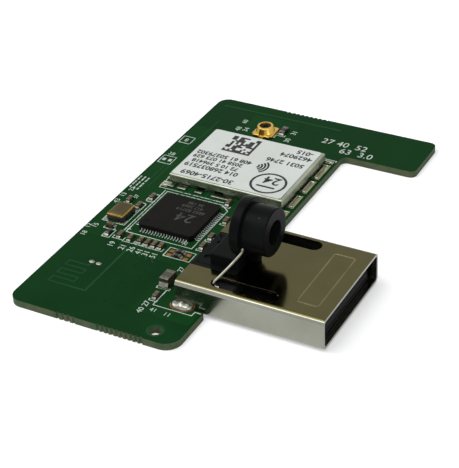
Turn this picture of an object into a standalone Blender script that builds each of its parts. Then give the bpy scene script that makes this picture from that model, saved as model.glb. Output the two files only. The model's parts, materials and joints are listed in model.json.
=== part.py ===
# Internal wireless adapter board with a wide sheet-metal plug.
# Blender 4.5, metres, +Z up.  The origin is under the middle of the object, on the
# plane of the board's underside.  +X points out of the plug's mouth, +Y runs along
# the long edge of the board.
import math

import bpy
import bmesh
from mathutils import Matrix, Vector

MM = 0.001

# ---- driving dimensions, in millimetres ----
OVERALL_X = 37.85            # left board edge to plug mouth
OVERALL_Y = 53.8             # board length
BOARD_T = 0.96
BOARD_W = 22.7               # board body, without the arm
ARM_REACH = 33.0             # left board edge to arm end
ARM_W = 8.15
MOUNT_HOLE = (0.4, -25.06)
MOUNT_HOLE_R = 0.8
PLUG_W = 15.1
PLUG_H = 4.05
PLUG_L = 19.0
PLUG_FROM_EDGE = 14.78       # plug centre line to the near board edge
PLUG_DROP = 0.225            # shell underside above the board's underside
SHEET_T = 0.35
SHELL_R = 0.7                # outer radius of the shell's long bends
SLOT_L = 8.6
SLOT_W = 1.9
SLOT_START = 3.9             # rear end of the slots, along X
SLOT_OFFSET = 5.67           # slot centre from the plug's centre line
CUTOUT_HALF = 3.7            # bracket cut-out in the shell's top
CUTOUT_END = 6.0
EYE_Z = 8.91                 # height of the eyelet's axis
EYE_R = 2.955
EYE_BORE_R = 1.523
EYE_FRONT = 9.315
EYE_ROOT = 6.315
FLANGE_R = 3.557
FLANGE_T = 1.22
CAN_X = (-14.17, 2.41)
CAN_Y = (3.2, 16.2)
CAN_TOP = 2.5
LID_SIDE = 0.95              # height of the lid's sides
LID_T = 0.17
FRAME_T = 0.2
FRAME_INSET = 0.27           # lid outside to frame outside
CHIP_CENTRE = (-8.5, -3.9)
CHIP_SIZE = 7.9
CHIP_T = 0.85
CRYSTAL_CENTRE = (-16.0, -5.9)
COAX_CENTRE = (-8.6, 20.15)
COAX_HALF = 1.5
WIRE_R = 0.19
CONTACT_Y = (-4.4, -1.45, 1.45, 4.4)    # contact centres, from the plug's centre line
CONTACT_HALF = 0.55
CONTACT_T = 0.2
TONGUE_TOP = 2.15
TONGUE_FRONT = 0.9           # tongue end behind the plug's mouth
BLOCK_FRONT = 6.6            # front face of the insulator's rear block
PEDESTAL_X = (2.1, 5.85)
PEDESTAL_HALF = 2.85
PEDESTAL_H = 1.62            # above the shell's top
SEAT = 0.03                  # gap under a soldered piece
FIT = 0.1                    # gap between pieces that lie side by side

LEFT = -OVERALL_X / 2
MOUTH = OVERALL_X / 2
NEAR = -OVERALL_Y / 2
FAR = OVERALL_Y / 2
RIGHT = LEFT + BOARD_W
ARM_END = LEFT + ARM_REACH
ARM_NEAR = FAR - ARM_W
PLUG_Y = NEAR + PLUG_FROM_EDGE
SHELL_REAR = MOUTH - PLUG_L
SHELL_TOP = PLUG_DROP + PLUG_H
DECK = BOARD_T + SEAT        # where soldered pieces start

# chip capacitors and resistors: name, centre x, centre y, size x, size y, height
SMALL_PARTS = (
    ("capacitor_crystal_far", -16.75, -2.6, 0.55, 1.05, 0.5),
    ("capacitor_crystal_near", -15.75, -8.75, 1.05, 0.55, 0.5),
    ("capacitor_chip_left_1", -14.9, -3.35, 0.55, 1.05, 0.5),
    ("capacitor_chip_left_2", -14.3, -0.85, 0.55, 1.05, 0.5),
    ("capacitor_row_1", -13.5, -10.1, 0.55, 1.05, 0.5),
    ("capacitor_row_2", -11.95, -10.25, 0.55, 1.05, 0.5),
    ("capacitor_row_3", -10.47, -10.25, 0.55, 1.05, 0.5),
    ("capacitor_row_4", -9.4, -10.3, 0.55, 1.05, 0.5),
    ("capacitor_row_5", -8.45, -10.3, 0.55, 1.05, 0.5),
    ("capacitor_row_6", -7.5, -10.3, 0.55, 1.05, 0.5),
    ("capacitor_chip_corner", -4.6, 1.9, 0.55, 1.05, 0.5),
    ("capacitor_chip_right_1", -2.9, -1.9, 0.55, 1.05, 0.5),
    ("capacitor_chip_right_2", -2.85, -5.9, 0.55, 1.05, 0.5),
    ("capacitor_chip_right_3", -2.85, -8.1, 0.55, 1.05, 0.5),
    ("capacitor_plug", -2.85, -19.4, 0.55, 1.05, 0.5),
    ("capacitor_supply", -2.95, -16.4, 1.25, 2.0, 1.25),
    ("resistor_crystal", -15.2, -10.2, 0.55, 1.05, 0.38),
    ("resistor_data_1", -4.72, -10.35, 1.05, 0.5, 0.36),
    ("resistor_data_2", -4.72, -11.25, 1.05, 0.5, 0.36),
    ("resistor_antenna", -6.4, 21.4, 0.8, 1.6, 0.45),
)

# packages under the shield: name, centre x, centre y, size x, size y, height
SHIELDED_PARTS = (
    ("radio_transceiver", -9.6, 9.6, 5.0, 5.0, 0.8),
    ("power_amplifier_1", -3.6, 12.9, 3.0, 3.0, 0.75),
    ("power_amplifier_2", -3.6, 6.4, 3.0, 3.0, 0.75),
    ("antenna_switch", 0.2, 9.7, 1.6, 1.6, 0.6),
    ("band_filter", -0.2, 13.4, 2.0, 1.25, 0.7),
    ("balance_filter", -0.2, 6.0, 2.0, 1.25, 0.7),
    ("settings_memory", -9.9, 14.2, 3.0, 2.0, 0.6),
)


def clear_scene():
    for old in list(bpy.data.objects):
        bpy.data.objects.remove(old, do_unlink=True)


def collection(name):
    group = bpy.data.collections.new(name)
    bpy.context.scene.collection.children.link(group)
    return group


def material(name, color, roughness, metallic):
    mat = bpy.data.materials.new(name)
    mat.use_nodes = True
    shader = mat.node_tree.nodes["Principled BSDF"]
    shader.inputs["Base Color"].default_value = (*color, 1.0)
    shader.inputs["Roughness"].default_value = roughness
    shader.inputs["Metallic"].default_value = metallic
    return mat


def place(obj, name, group, mat):
    for owner in list(obj.users_collection):
        owner.objects.unlink(obj)
    group.objects.link(obj)
    obj.name = name
    obj.data.name = name
    if mat is not None:
        obj.data.materials.clear()
        obj.data.materials.append(mat)
    return obj


def mesh_object(name, bm, group, mat=None):
    mesh = bpy.data.meshes.new(name)
    bm.to_mesh(mesh)
    bm.free()
    return place(bpy.data.objects.new(name, mesh), name, group, mat)


def box(name, low, high, group, mat=None, bevel=0.0, segments=1):
    """A block between two corners, in millimetres."""
    size = [(b - a) * MM for a, b in zip(low, high)]
    centre = Vector([(a + b) / 2 * MM for a, b in zip(low, high)])
    bm = bmesh.new()
    bmesh.ops.create_cube(bm, size=1.0, matrix=Matrix.Diagonal((*size, 1.0)))
    obj = mesh_object(name, bm, group, mat)
    obj.location = centre
    if bevel:
        add_bevel(obj, bevel, segments)
    return obj


def disc(name, radius, low, high, centre, axis, group, mat=None, segments=48, radius_2=None):
    """A cylinder or cone from low to high along X or Z, in millimetres."""
    bm = bmesh.new()
    turn = Matrix.Rotation(math.radians(90), 4, "Y") if axis == "X" else Matrix.Identity(4)
    bmesh.ops.create_cone(bm, cap_ends=True, segments=segments, radius1=radius * MM,
                          radius2=(radius if radius_2 is None else radius_2) * MM,
                          depth=(high - low) * MM, matrix=turn)
    obj = mesh_object(name, bm, group, mat)
    middle = (low + high) / 2
    place_at = (middle, centre[0], centre[1]) if axis == "X" else (centre[0], centre[1], middle)
    obj.location = Vector(place_at) * MM
    return obj


def rounded(corners, steps=6):
    """Corner list (x, y, radius) to a closed outline with arcs, in millimetres."""
    points = []
    count = len(corners)
    for i, (x, y, radius) in enumerate(corners):
        here = Vector((x, y))
        if radius == 0:
            points.append(here)
            continue
        to_last = (Vector(corners[i - 1][:2]) - here).normalized()
        to_next = (Vector(corners[(i + 1) % count][:2]) - here).normalized()
        half = to_last.angle(to_next) / 2
        centre = here + (to_last + to_next).normalized() * (radius / math.sin(half))
        start = here + to_last * (radius / math.tan(half)) - centre
        end = here + to_next * (radius / math.tan(half)) - centre
        sweep = math.atan2(start.x * end.y - start.y * end.x, start.dot(end))
        for k in range(steps + 1):
            points.append(centre + Matrix.Rotation(sweep * k / steps, 2) @ start)
    return points


def circle(x, y, radius, count=32):
    angles = [2 * math.pi * k / count for k in range(count)]
    return [Vector((x + radius * math.cos(a), y + radius * math.sin(a))) for a in angles]


def plate(name, outlines, low, high, group, mat=None):
    """A flat piece from closed outlines; inner outlines are holes."""
    curve = bpy.data.curves.new(name, "CURVE")
    curve.dimensions = "2D"
    curve.fill_mode = "BOTH"
    curve.extrude = (high - low) / 2 * MM
    for points in outlines:
        spline = curve.splines.new("POLY")
        spline.points.add(len(points) - 1)
        for slot, point in zip(spline.points, points):
            slot.co = (point.x * MM, point.y * MM, 0.0, 1.0)
        spline.use_cyclic_u = True
    obj = place(bpy.data.objects.new(name, curve), name, group, mat)
    obj.location.z = (low + high) / 2 * MM
    return obj


def as_mesh(obj, group, mat=None):
    """Turn a curve into a welded mesh so that it can be cut or can cut."""
    bpy.context.view_layer.update()
    graph = bpy.context.evaluated_depsgraph_get()
    mesh = bpy.data.meshes.new_from_object(obj.evaluated_get(graph))
    bm = bmesh.new()
    bm.from_mesh(mesh)
    bmesh.ops.remove_doubles(bm, verts=bm.verts, dist=1e-7)
    bm.to_mesh(mesh)
    bm.free()
    name = obj.name
    world = obj.matrix_world.copy()
    bpy.data.objects.remove(obj, do_unlink=True)
    new = place(bpy.data.objects.new(name, mesh), name, group, mat)
    new.matrix_world = world
    return new


def combine(target, others, operation):
    """Boolean with helper objects, which are hidden from render."""
    for other in others:
        other.hide_render = True
        other.display_type = "WIRE"
        mod = target.modifiers.new(operation.lower(), "BOOLEAN")
        mod.operation = operation
        mod.solver = "EXACT"
        mod.object = other
    return target


def add_bevel(obj, width, segments=2, angle=40):
    mod = obj.modifiers.new("bevel", "BEVEL")
    mod.width = width * MM
    mod.segments = segments
    mod.limit_method = "ANGLE"
    mod.angle_limit = math.radians(angle)
    mod.use_clamp_overlap = True
    return obj


def smooth(obj, angle=35):
    obj.data.shade_smooth()
    obj.data.set_sharp_from_angle(angle=math.radians(angle))
    return obj


# ---- the pieces ----

def circuit_board(parts, mat):
    """L-shaped board with a bay for the plug and a small mounting hole."""
    bay = PLUG_W / 2 + FIT
    corners = (
        (LEFT, NEAR, 1.6), (RIGHT, NEAR, 2.0),
        (RIGHT, PLUG_Y - bay, 0.25), (SHELL_REAR - FIT, PLUG_Y - bay, 0.3),
        (SHELL_REAR - FIT, PLUG_Y + bay, 0.3), (RIGHT, PLUG_Y + bay, 0.25),
        (RIGHT, ARM_NEAR, 0.8), (ARM_END, ARM_NEAR, 0.9),
        (ARM_END, FAR, 0.9), (LEFT, FAR, 1.6),
    )
    hole = circle(*MOUNT_HOLE, MOUNT_HOLE_R)
    return plate("circuit_board", [rounded(corners), hole], 0.0, BOARD_T, parts, mat)


def slot_outline(y):
    """Long slot with round ends, centred on y."""
    half = SLOT_W / 2
    end = SLOT_START + SLOT_L
    corners = ((SLOT_START, y - half, half * 0.98), (end, y - half, half * 0.98),
               (end, y + half, half * 0.98), (SLOT_START, y + half, half * 0.98))
    return rounded(corners)


def plug_shell(parts, tools, mat):
    """Folded sheet tube, open at both ends, with top slots and a bracket cut-out."""
    bm = bmesh.new()
    size = (PLUG_L * MM, PLUG_W * MM, PLUG_H * MM, 1.0)
    bmesh.ops.create_cube(bm, size=1.0, matrix=Matrix.Diagonal(size))
    ends = [f for f in bm.faces if abs(f.normal.x) > 0.9]
    bmesh.ops.delete(bm, geom=ends, context="FACES_ONLY")
    long_edges = [e for e in bm.edges
                  if abs(e.verts[0].co.x - e.verts[1].co.x) > 0.5 * PLUG_L * MM]
    bmesh.ops.bevel(bm, geom=long_edges, offset=SHELL_R * MM, segments=4, profile=0.5,
                    affect="EDGES")
    shell = mesh_object("plug_shell", bm, parts, mat)
    shell.location = Vector(((MOUTH + SHELL_REAR) / 2, PLUG_Y, (PLUG_DROP + SHELL_TOP) / 2)) * MM
    wall = shell.modifiers.new("wall", "SOLIDIFY")
    wall.thickness = SHEET_T * MM
    wall.offset = -1
    cutters = [box("cut_bracket_bay", (SHELL_REAR - 1, PLUG_Y - CUTOUT_HALF, SHELL_TOP - 1),
                   (CUTOUT_END, PLUG_Y + CUTOUT_HALF, SHELL_TOP + 1), tools)]
    for side, label in ((-1, "near"), (1, "far")):
        slot = plate("cut_slot_" + label, [slot_outline(PLUG_Y + side * SLOT_OFFSET)],
                     SHELL_TOP - 1, SHELL_TOP + 1, tools)
        cutters.append(as_mesh(slot, tools))
    return smooth(combine(shell, cutters, "DIFFERENCE"))


def contact_profile():
    """Side view of a contact: strip along the tongue, step down, foot on the board."""
    top = TONGUE_TOP + 0.02
    low = top - CONTACT_T
    front = MOUTH - 1.325
    step = SHELL_REAR - 0.675
    foot = step - 1.0
    foot_top = DECK + CONTACT_T
    return [Vector(p) for p in (
        (front, low), (front, top), (step, top), (step, foot_top),
        (foot, foot_top), (foot, DECK), (step + CONTACT_T, DECK), (step + CONTACT_T, low))]


def plug_insulator(parts, tools, mat):
    """Black moulding in the shell: rear block and a long tongue with four grooves."""
    side = PLUG_W / 2 - SHEET_T - FIT
    floor = PLUG_DROP + SHEET_T + SEAT
    rear = SHELL_REAR + 0.1
    under_bracket = SHELL_TOP - 0.75
    body = box("plug_insulator", (rear, PLUG_Y - side, floor),
               (BLOCK_FRONT, PLUG_Y + side, under_bracket), parts, mat, bevel=0.3, segments=3)
    tongue_room = box("cut_above_tongue", (BLOCK_FRONT - 0.6, PLUG_Y - side - 1, TONGUE_TOP),
                      (BLOCK_FRONT + 1, PLUG_Y + side + 1, SHELL_TOP), tools)
    tongue = box("add_tongue", (BLOCK_FRONT - 1.2, PLUG_Y - side + 0.5, floor),
                 (MOUTH - TONGUE_FRONT, PLUG_Y + side - 0.5, TONGUE_TOP), tools, bevel=0.12)
    combine(body, [tongue_room], "DIFFERENCE")
    combine(body, [tongue], "UNION")
    grooves = []
    for k, y in enumerate(CONTACT_Y):
        grooves.append(box("cut_groove_%d" % (k + 1),
                           (rear - 1, PLUG_Y + y - CONTACT_HALF - 0.05, TONGUE_TOP - 0.22),
                           (MOUTH - 1.225, PLUG_Y + y + CONTACT_HALF + 0.05, TONGUE_TOP + 0.12), tools))
    return combine(body, grooves, "DIFFERENCE")


def plug_contact(index, y, parts, mat):
    """Flat strip bent down behind the shell; drawn as a side view and turned upright."""
    name = "plug_contact_%d" % (index + 1)
    strip = plate(name, [contact_profile()], -CONTACT_HALF, CONTACT_HALF, parts, mat)
    strip.rotation_euler = (math.radians(90), 0, 0)
    strip.location = Vector((0, PLUG_Y + y, 0)) * MM
    return strip


def eyelet_bracket(parts, tools, mat):
    """Black moulding: plate in the shell's cut-out, pedestal, flange, barrel, rib."""
    base_top = SHELL_TOP - 0.02
    reach = CUTOUT_HALF - 0.05
    plinth = box("eyelet_bracket", (SHELL_REAR + 0.02, PLUG_Y - reach, SHELL_TOP - 0.7),
                 (CUTOUT_END - 0.05, PLUG_Y + reach, base_top), parts, mat)
    extra = [
        box("add_pedestal", (PEDESTAL_X[0], PLUG_Y - PEDESTAL_HALF, base_top - 0.3),
            (PEDESTAL_X[1], PLUG_Y + PEDESTAL_HALF, SHELL_TOP + PEDESTAL_H), tools, bevel=0.15),
        disc("add_flange", FLANGE_R, EYE_ROOT - FLANGE_T, EYE_ROOT, (PLUG_Y, EYE_Z), "X", tools),
        disc("add_barrel", EYE_R, EYE_ROOT - 0.3, EYE_FRONT, (PLUG_Y, EYE_Z), "X", tools),
        box("add_rib", (EYE_ROOT - 0.4, PLUG_Y - 0.5, SHELL_TOP + 0.05),
            (EYE_ROOT + 0.95, PLUG_Y + 0.5, EYE_Z - EYE_R + 0.4), tools),
    ]
    combine(plinth, extra, "UNION")
    bore = disc("cut_bore", EYE_BORE_R, EYE_ROOT - 3, EYE_FRONT + 1, (PLUG_Y, EYE_Z), "X", tools)
    return smooth(combine(plinth, [bore], "DIFFERENCE"))


def wire_stay(parts, mat):
    """Steel wire hooked in the near slot, rising to the root of the flange."""
    corners = [Vector(p) for p in (
        (4.95, -18.05, 3.74), (4.45, -18.15, 3.76), (4.3, -18.2, 4.35), (4.75, -17.75, 4.85),
        (5.7, -16.4, 6.0), (6.35, -15.4, 6.9), (6.56, -15.05, 7.3), (6.56, -14.95, 7.6))]
    curve = bpy.data.curves.new("wire_stay", "CURVE")
    curve.dimensions = "3D"
    curve.bevel_depth = WIRE_R * MM
    curve.bevel_resolution = 2
    curve.use_fill_caps = True
    spline = curve.splines.new("POLY")
    route = smooth_route(corners, 4)
    spline.points.add(len(route) - 1)
    for slot, point in zip(spline.points, route):
        slot.co = (*(point * MM), 1.0)
    return place(bpy.data.objects.new("wire_stay", curve), "wire_stay", parts, mat)


def smooth_route(points, steps):
    """Catmull-Rom curve through the points."""
    padded = [points[0] * 2 - points[1]] + points + [points[-1] * 2 - points[-2]]
    route = []
    for a, b, c, d in zip(padded, padded[1:], padded[2:], padded[3:]):
        for k in range(steps):
            t = k / steps
            route.append(0.5 * (2 * b + (c - a) * t + (2 * a - 5 * b + 4 * c - d) * t * t
                                + (3 * b - a - 3 * c + d) * t ** 3))
    route.append(points[-1])
    return route


def solder_fillet(name, side, parts, tools, mat):
    """Solder that ties the shell's side to the board."""
    wall = PLUG_Y + side * (PLUG_W / 2 + 0.04)
    bm = bmesh.new()
    bmesh.ops.create_uvsphere(bm, u_segments=24, v_segments=12, radius=1.0,
                              matrix=Matrix.Diagonal((1.4 * MM, 1.0 * MM, 0.8 * MM, 1.0)))
    dome = mesh_object(name, bm, parts, mat)
    dome.location = Vector((0.83, wall, BOARD_T)) * MM
    keep = box("keep_" + name, (-2, min(wall, wall + side * 3), DECK),
               (4, max(wall, wall + side * 3), DECK + 3), tools)
    return smooth(combine(dome, [keep], "INTERSECT"))


def shield_frame(parts, tools, mat):
    """Wall that is soldered to the board, with openings for tracks on the near side."""
    low = (CAN_X[0] + FRAME_INSET, CAN_Y[0] + FRAME_INSET)
    high = (CAN_X[1] - FRAME_INSET, CAN_Y[1] - FRAME_INSET)
    frame = box("shield_frame", (*low, DECK), (*high, CAN_TOP - 0.35), parts, mat)
    cutters = [box("cut_frame_room", (low[0] + FRAME_T, low[1] + FRAME_T, 0),
                   (high[0] - FRAME_T, high[1] - FRAME_T, CAN_TOP + 1), tools)]
    for k, x in enumerate((-9.6, -6.9)):
        cutters.append(box("cut_track_gate_%d" % (k + 1), (x - 0.65, CAN_Y[0] - 1, 0),
                           (x + 0.65, CAN_Y[0] + 1, DECK + 0.42), tools))
    return combine(frame, cutters, "DIFFERENCE")


def shield_lid(parts, mat):
    """Thin cover that snaps over the wall: an open box, upside down."""
    bm = bmesh.new()
    size = ((CAN_X[1] - CAN_X[0]) * MM, (CAN_Y[1] - CAN_Y[0]) * MM, LID_SIDE * MM, 1.0)
    bmesh.ops.create_cube(bm, size=1.0, matrix=Matrix.Diagonal(size))
    under = [f for f in bm.faces if f.normal.z < -0.9]
    bmesh.ops.delete(bm, geom=under, context="FACES_ONLY")
    rim = [e for e in bm.edges if e.is_boundary]
    folds = [e for e in bm.edges if e not in rim]
    bmesh.ops.bevel(bm, geom=folds, offset=0.18 * MM, segments=2, profile=0.5, affect="EDGES")
    lid = mesh_object("shield_lid", bm, parts, mat)
    middle = ((CAN_X[0] + CAN_X[1]) / 2, (CAN_Y[0] + CAN_Y[1]) / 2, CAN_TOP - LID_SIDE / 2)
    lid.location = Vector(middle) * MM
    wall = lid.modifiers.new("wall", "SOLIDIFY")
    wall.thickness = LID_T * MM
    wall.offset = -1
    return lid


def shield_label(parts, mat):
    edge = 0.2
    return box("shield_label", (CAN_X[0] + edge, CAN_Y[0] + edge, CAN_TOP + 0.01),
               (CAN_X[1] - edge, CAN_Y[1] - edge, CAN_TOP + 0.09), parts, mat)


def coax_connector(parts, tools, mats):
    """Square test connector: metal base with a tapered barrel, core and centre pin."""
    x, y = COAX_CENTRE
    shell = box("coax_shell", (x - COAX_HALF, y - COAX_HALF, DECK),
                (x + COAX_HALF, y + COAX_HALF, 1.4), parts, mats["gold"], bevel=0.12)
    barrel = disc("add_coax_barrel", 1.3, 1.3, 2.2, (x, y), "Z", tools, segments=32,
                  radius_2=1.08)
    bore = disc("cut_coax_bore", 0.78, 1.2, 2.5, (x, y), "Z", tools, segments=32)
    combine(shell, [barrel], "UNION")
    combine(shell, [bore], "DIFFERENCE")
    core = disc("coax_core", 0.7, 1.26, 1.75, (x, y), "Z", parts, mats["black"], segments=32)
    well = disc("cut_coax_well", 0.3, 1.4, 2.5, (x, y), "Z", tools, segments=20)
    combine(core, [well], "DIFFERENCE")
    disc("coax_pin", 0.2, 1.45, 1.85, (x, y), "Z", parts, mats["gold"], segments=16)
    return smooth(shell)


def crystal(parts, mats):
    """Ceramic can with a metal lid."""
    x, y = CRYSTAL_CENTRE
    box("crystal_base", (x - 1.25, y - 1.65, DECK), (x + 1.25, y + 1.65, 1.62), parts,
        mats["ceramic"], bevel=0.08)
    box("crystal_lid", (x - 1.12, y - 1.52, 1.65), (x + 1.12, y + 1.52, 1.83), parts,
        mats["bronze"], bevel=0.05)


def chip_parts(parts, mats):
    """The controller, the chip capacitors and resistors, and the shielded packages."""
    x, y = CHIP_CENTRE
    half = CHIP_SIZE / 2
    box("radio_controller", (x - half, y - half, DECK), (x + half, y + half, BOARD_T + CHIP_T),
        parts, mats["epoxy"], bevel=0.08)
    for name, cx, cy, sx, sy, height in SMALL_PARTS:
        kind = "tan" if name.startswith("capacitor") else "black"
        box(name, (cx - sx / 2, cy - sy / 2, DECK), (cx + sx / 2, cy + sy / 2, DECK + height),
            parts, mats[kind], bevel=0.05)
    for name, cx, cy, sx, sy, height in SHIELDED_PARTS:
        box(name, (cx - sx / 2, cy - sy / 2, DECK), (cx + sx / 2, cy + sy / 2, DECK + height),
            parts, mats["epoxy"], bevel=0.06)


def build():
    clear_scene()
    parts = collection("wireless_adapter")
    tools = collection("cutters")
    mats = {
        "board": material("solder_mask_green", (0.015, 0.085, 0.03), 0.35, 0.0),
        "nickel": material("nickel_plate", (0.62, 0.61, 0.57), 0.18, 1.0),
        "tin": material("tinned_steel", (0.60, 0.60, 0.56), 0.35, 1.0),
        "solder": material("solder", (0.66, 0.66, 0.65), 0.25, 1.0),
        "steel": material("spring_steel", (0.58, 0.57, 0.53), 0.3, 1.0),
        "black": material("black_plastic", (0.012, 0.012, 0.013), 0.35, 0.0),
        "epoxy": material("chip_epoxy", (0.012, 0.012, 0.012), 0.45, 0.0),
        "gold": material("gold_plate", (0.80, 0.52, 0.12), 0.25, 1.0),
        "bronze": material("bronze_lid", (0.28, 0.20, 0.10), 0.4, 1.0),
        "ceramic": material("black_ceramic", (0.02, 0.018, 0.02), 0.5, 0.0),
        "tan": material("capacitor_ceramic", (0.30, 0.20, 0.11), 0.5, 0.0),
        "label": material("label_film", (0.78, 0.79, 0.78), 0.5, 0.0),
    }
    circuit_board(parts, mats["board"])
    plug_shell(parts, tools, mats["nickel"])
    plug_insulator(parts, tools, mats["black"])
    for index, y in enumerate(CONTACT_Y):
        plug_contact(index, y, parts, mats["gold"])
    eyelet_bracket(parts, tools, mats["black"])
    wire_stay(parts, mats["steel"])
    solder_fillet("solder_near", -1, parts, tools, mats["solder"])
    solder_fillet("solder_far", 1, parts, tools, mats["solder"])
    shield_frame(parts, tools, mats["tin"])
    shield_lid(parts, mats["tin"])
    shield_label(parts, mats["label"])
    coax_connector(parts, tools, mats)
    crystal(parts, mats)
    chip_parts(parts, mats)


build()
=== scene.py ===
import json
import math
import random

import bmesh
import bpy
from mathutils import Matrix, Vector

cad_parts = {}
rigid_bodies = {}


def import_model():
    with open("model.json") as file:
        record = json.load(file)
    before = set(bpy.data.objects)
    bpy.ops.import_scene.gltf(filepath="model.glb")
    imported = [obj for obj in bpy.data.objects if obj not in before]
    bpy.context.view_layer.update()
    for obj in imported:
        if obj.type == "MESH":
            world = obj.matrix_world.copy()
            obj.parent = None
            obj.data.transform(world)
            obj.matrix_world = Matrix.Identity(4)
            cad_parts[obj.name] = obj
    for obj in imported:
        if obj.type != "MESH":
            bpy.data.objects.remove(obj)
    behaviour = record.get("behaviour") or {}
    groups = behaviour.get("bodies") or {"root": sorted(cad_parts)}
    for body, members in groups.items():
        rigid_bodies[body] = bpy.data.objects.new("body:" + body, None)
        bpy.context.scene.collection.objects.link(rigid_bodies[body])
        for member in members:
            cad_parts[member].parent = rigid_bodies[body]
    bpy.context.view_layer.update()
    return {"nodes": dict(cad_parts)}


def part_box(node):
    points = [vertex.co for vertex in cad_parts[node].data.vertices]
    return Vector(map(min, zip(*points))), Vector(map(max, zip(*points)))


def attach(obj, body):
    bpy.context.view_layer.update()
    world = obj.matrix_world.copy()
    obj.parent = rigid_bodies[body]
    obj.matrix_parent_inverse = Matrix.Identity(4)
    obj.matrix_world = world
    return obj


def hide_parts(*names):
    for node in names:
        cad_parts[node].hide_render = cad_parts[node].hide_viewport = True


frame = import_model()
print("frame loaded,", len(frame["nodes"]), "nodes")

mm = 0.001
random.seed(7)


# ---- helpers for modelling ----

def deselectAll():
    bpy.ops.object.select_all(action="DESELECT")


def pick(obj):
    deselectAll()
    obj.select_set(True)
    bpy.context.view_layer.objects.active = obj
    return obj


def settle(obj):
    # place, turn and size go into the mesh
    pick(obj)
    bpy.ops.object.transform_apply(location=True, rotation=True, scale=True)
    return obj


def applyModifiers(obj):
    pick(obj)
    for mod in list(obj.modifiers):
        bpy.ops.object.modifier_apply(modifier=mod.name)
    return obj


def bevelEdges(obj, width, segments=2, angle=35):
    mod = obj.modifiers.new("bevel", "BEVEL")
    mod.width = width * mm
    mod.segments = segments
    mod.limit_method = "ANGLE"
    mod.angle_limit = math.radians(angle)
    return applyModifiers(obj)


def block(low, high, bevel=0.0, segments=2):
    size = [(b - a) * mm for a, b in zip(low, high)]
    centre = [(a + b) / 2 * mm for a, b in zip(low, high)]
    deselectAll()
    bpy.ops.mesh.primitive_cube_add(size=1, location=centre)
    obj = bpy.context.object
    obj.scale = size
    settle(obj)
    return bevelEdges(obj, bevel, segments) if bevel else obj


def drum(radius, low, high, centre, axis="Z", sides=64, bevel=0.0, segments=3):
    # axis X: centre is (y, z); axis Z: centre is (x, y)
    middle = (low + high) / 2
    at = (middle, *centre) if axis == "X" else (*centre, middle)
    turn = (0, math.pi / 2, 0) if axis == "X" else (0, 0, 0)
    deselectAll()
    bpy.ops.mesh.primitive_cylinder_add(vertices=sides, radius=radius * mm,
                                        depth=(high - low) * mm,
                                        location=[c * mm for c in at], rotation=turn)
    obj = settle(bpy.context.object)
    return bevelEdges(obj, bevel, segments) if bevel else obj


def combine(obj, other, operation):
    mod = obj.modifiers.new("cut", "BOOLEAN")
    mod.operation = operation
    mod.solver = "EXACT"
    mod.object = other
    applyModifiers(obj)
    bpy.data.objects.remove(other, do_unlink=True)
    return obj


def joinAll(objects):
    deselectAll()
    for obj in objects:
        obj.select_set(True)
    bpy.context.view_layer.objects.active = objects[0]
    if len(objects) > 1:
        bpy.ops.object.join()
    return bpy.context.object


def copyTo(obj, offset, turn=0.0):
    # a copy with its own mesh, turned about Z through the world origin and then moved
    new = obj.copy()
    new.data = obj.data.copy()
    bpy.context.collection.objects.link(new)
    new.data.transform(Matrix.Translation(Vector(offset) * mm) @ Matrix.Rotation(turn, 4, "Z"))
    return new


def paint(obj, mat):
    obj.data.materials.clear()
    obj.data.materials.append(mat)
    return obj


def makePiece(obj, name, replaces=(), smooth=30):
    obj.name = name
    obj.data.name = name
    if smooth:
        pick(obj)
        bpy.ops.object.shade_smooth_by_angle(angle=math.radians(smooth))
        flat = obj.modifiers.new("flat", "WEIGHTED_NORMAL")
        flat.keep_sharp = True
        applyModifiers(obj)
    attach(obj, "root")
    if replaces:
        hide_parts(*replaces)
    return obj


def strokes(routes, width, z, rise=0.25, closed=False, sides=2):
    # flat raised lines: tubes along the routes, pressed flat
    curve = bpy.data.curves.new("strokes", "CURVE")
    curve.dimensions = "3D"
    curve.bevel_depth = width / 2 * mm
    curve.bevel_resolution = sides
    curve.use_fill_caps = True
    for route in routes:
        spline = curve.splines.new("POLY")
        spline.points.add(len(route) - 1)
        for slot, (x, y) in zip(spline.points, route):
            slot.co = (x * mm, y * mm, 0, 1)
        spline.use_cyclic_u = closed
    obj = bpy.data.objects.new("strokes", curve)
    bpy.context.collection.objects.link(obj)
    pick(obj)
    bpy.ops.object.convert(target="MESH")
    obj = bpy.context.object
    obj.scale = (1, 1, rise)
    obj.location = (0, 0, z * mm)
    return settle(obj)


def figures(text, x, y, z, size, turn=0.0, thick=0.012, bold=0.0):
    # raised plain figures, made a mesh before they are placed
    deselectAll()
    bpy.ops.object.text_add()
    obj = bpy.context.object
    obj.data.body = text
    obj.data.size = size * mm
    obj.data.extrude = thick * mm
    obj.data.offset = bold * mm
    obj.data.resolution_u = 3
    pick(obj)
    bpy.ops.object.convert(target="MESH")
    obj = bpy.context.object
    obj.rotation_euler = (0, 0, math.radians(turn))
    obj.location = (x * mm, y * mm, z * mm)
    return settle(obj)


def arc(x, y, radius, start, end, steps=10):
    angles = [math.radians(start + (end - start) * k / steps) for k in range(steps + 1)]
    return [(x + radius * math.cos(a), y + radius * math.sin(a)) for a in angles]


def boxOf(node):
    low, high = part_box(node)
    return [c / mm for c in low], [c / mm for c in high]


# ---- shared effects ----

def newGroup(name, inputs, outputs):
    tree = bpy.data.node_groups.new(name, "ShaderNodeTree")
    for label, kind, value in inputs:
        socket = tree.interface.new_socket(name=label, in_out="INPUT", socket_type=kind)
        socket.default_value = value
    for label, kind in outputs:
        tree.interface.new_socket(name=label, in_out="OUTPUT", socket_type=kind)
    return tree, tree.nodes.new("NodeGroupInput"), tree.nodes.new("NodeGroupOutput")


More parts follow.
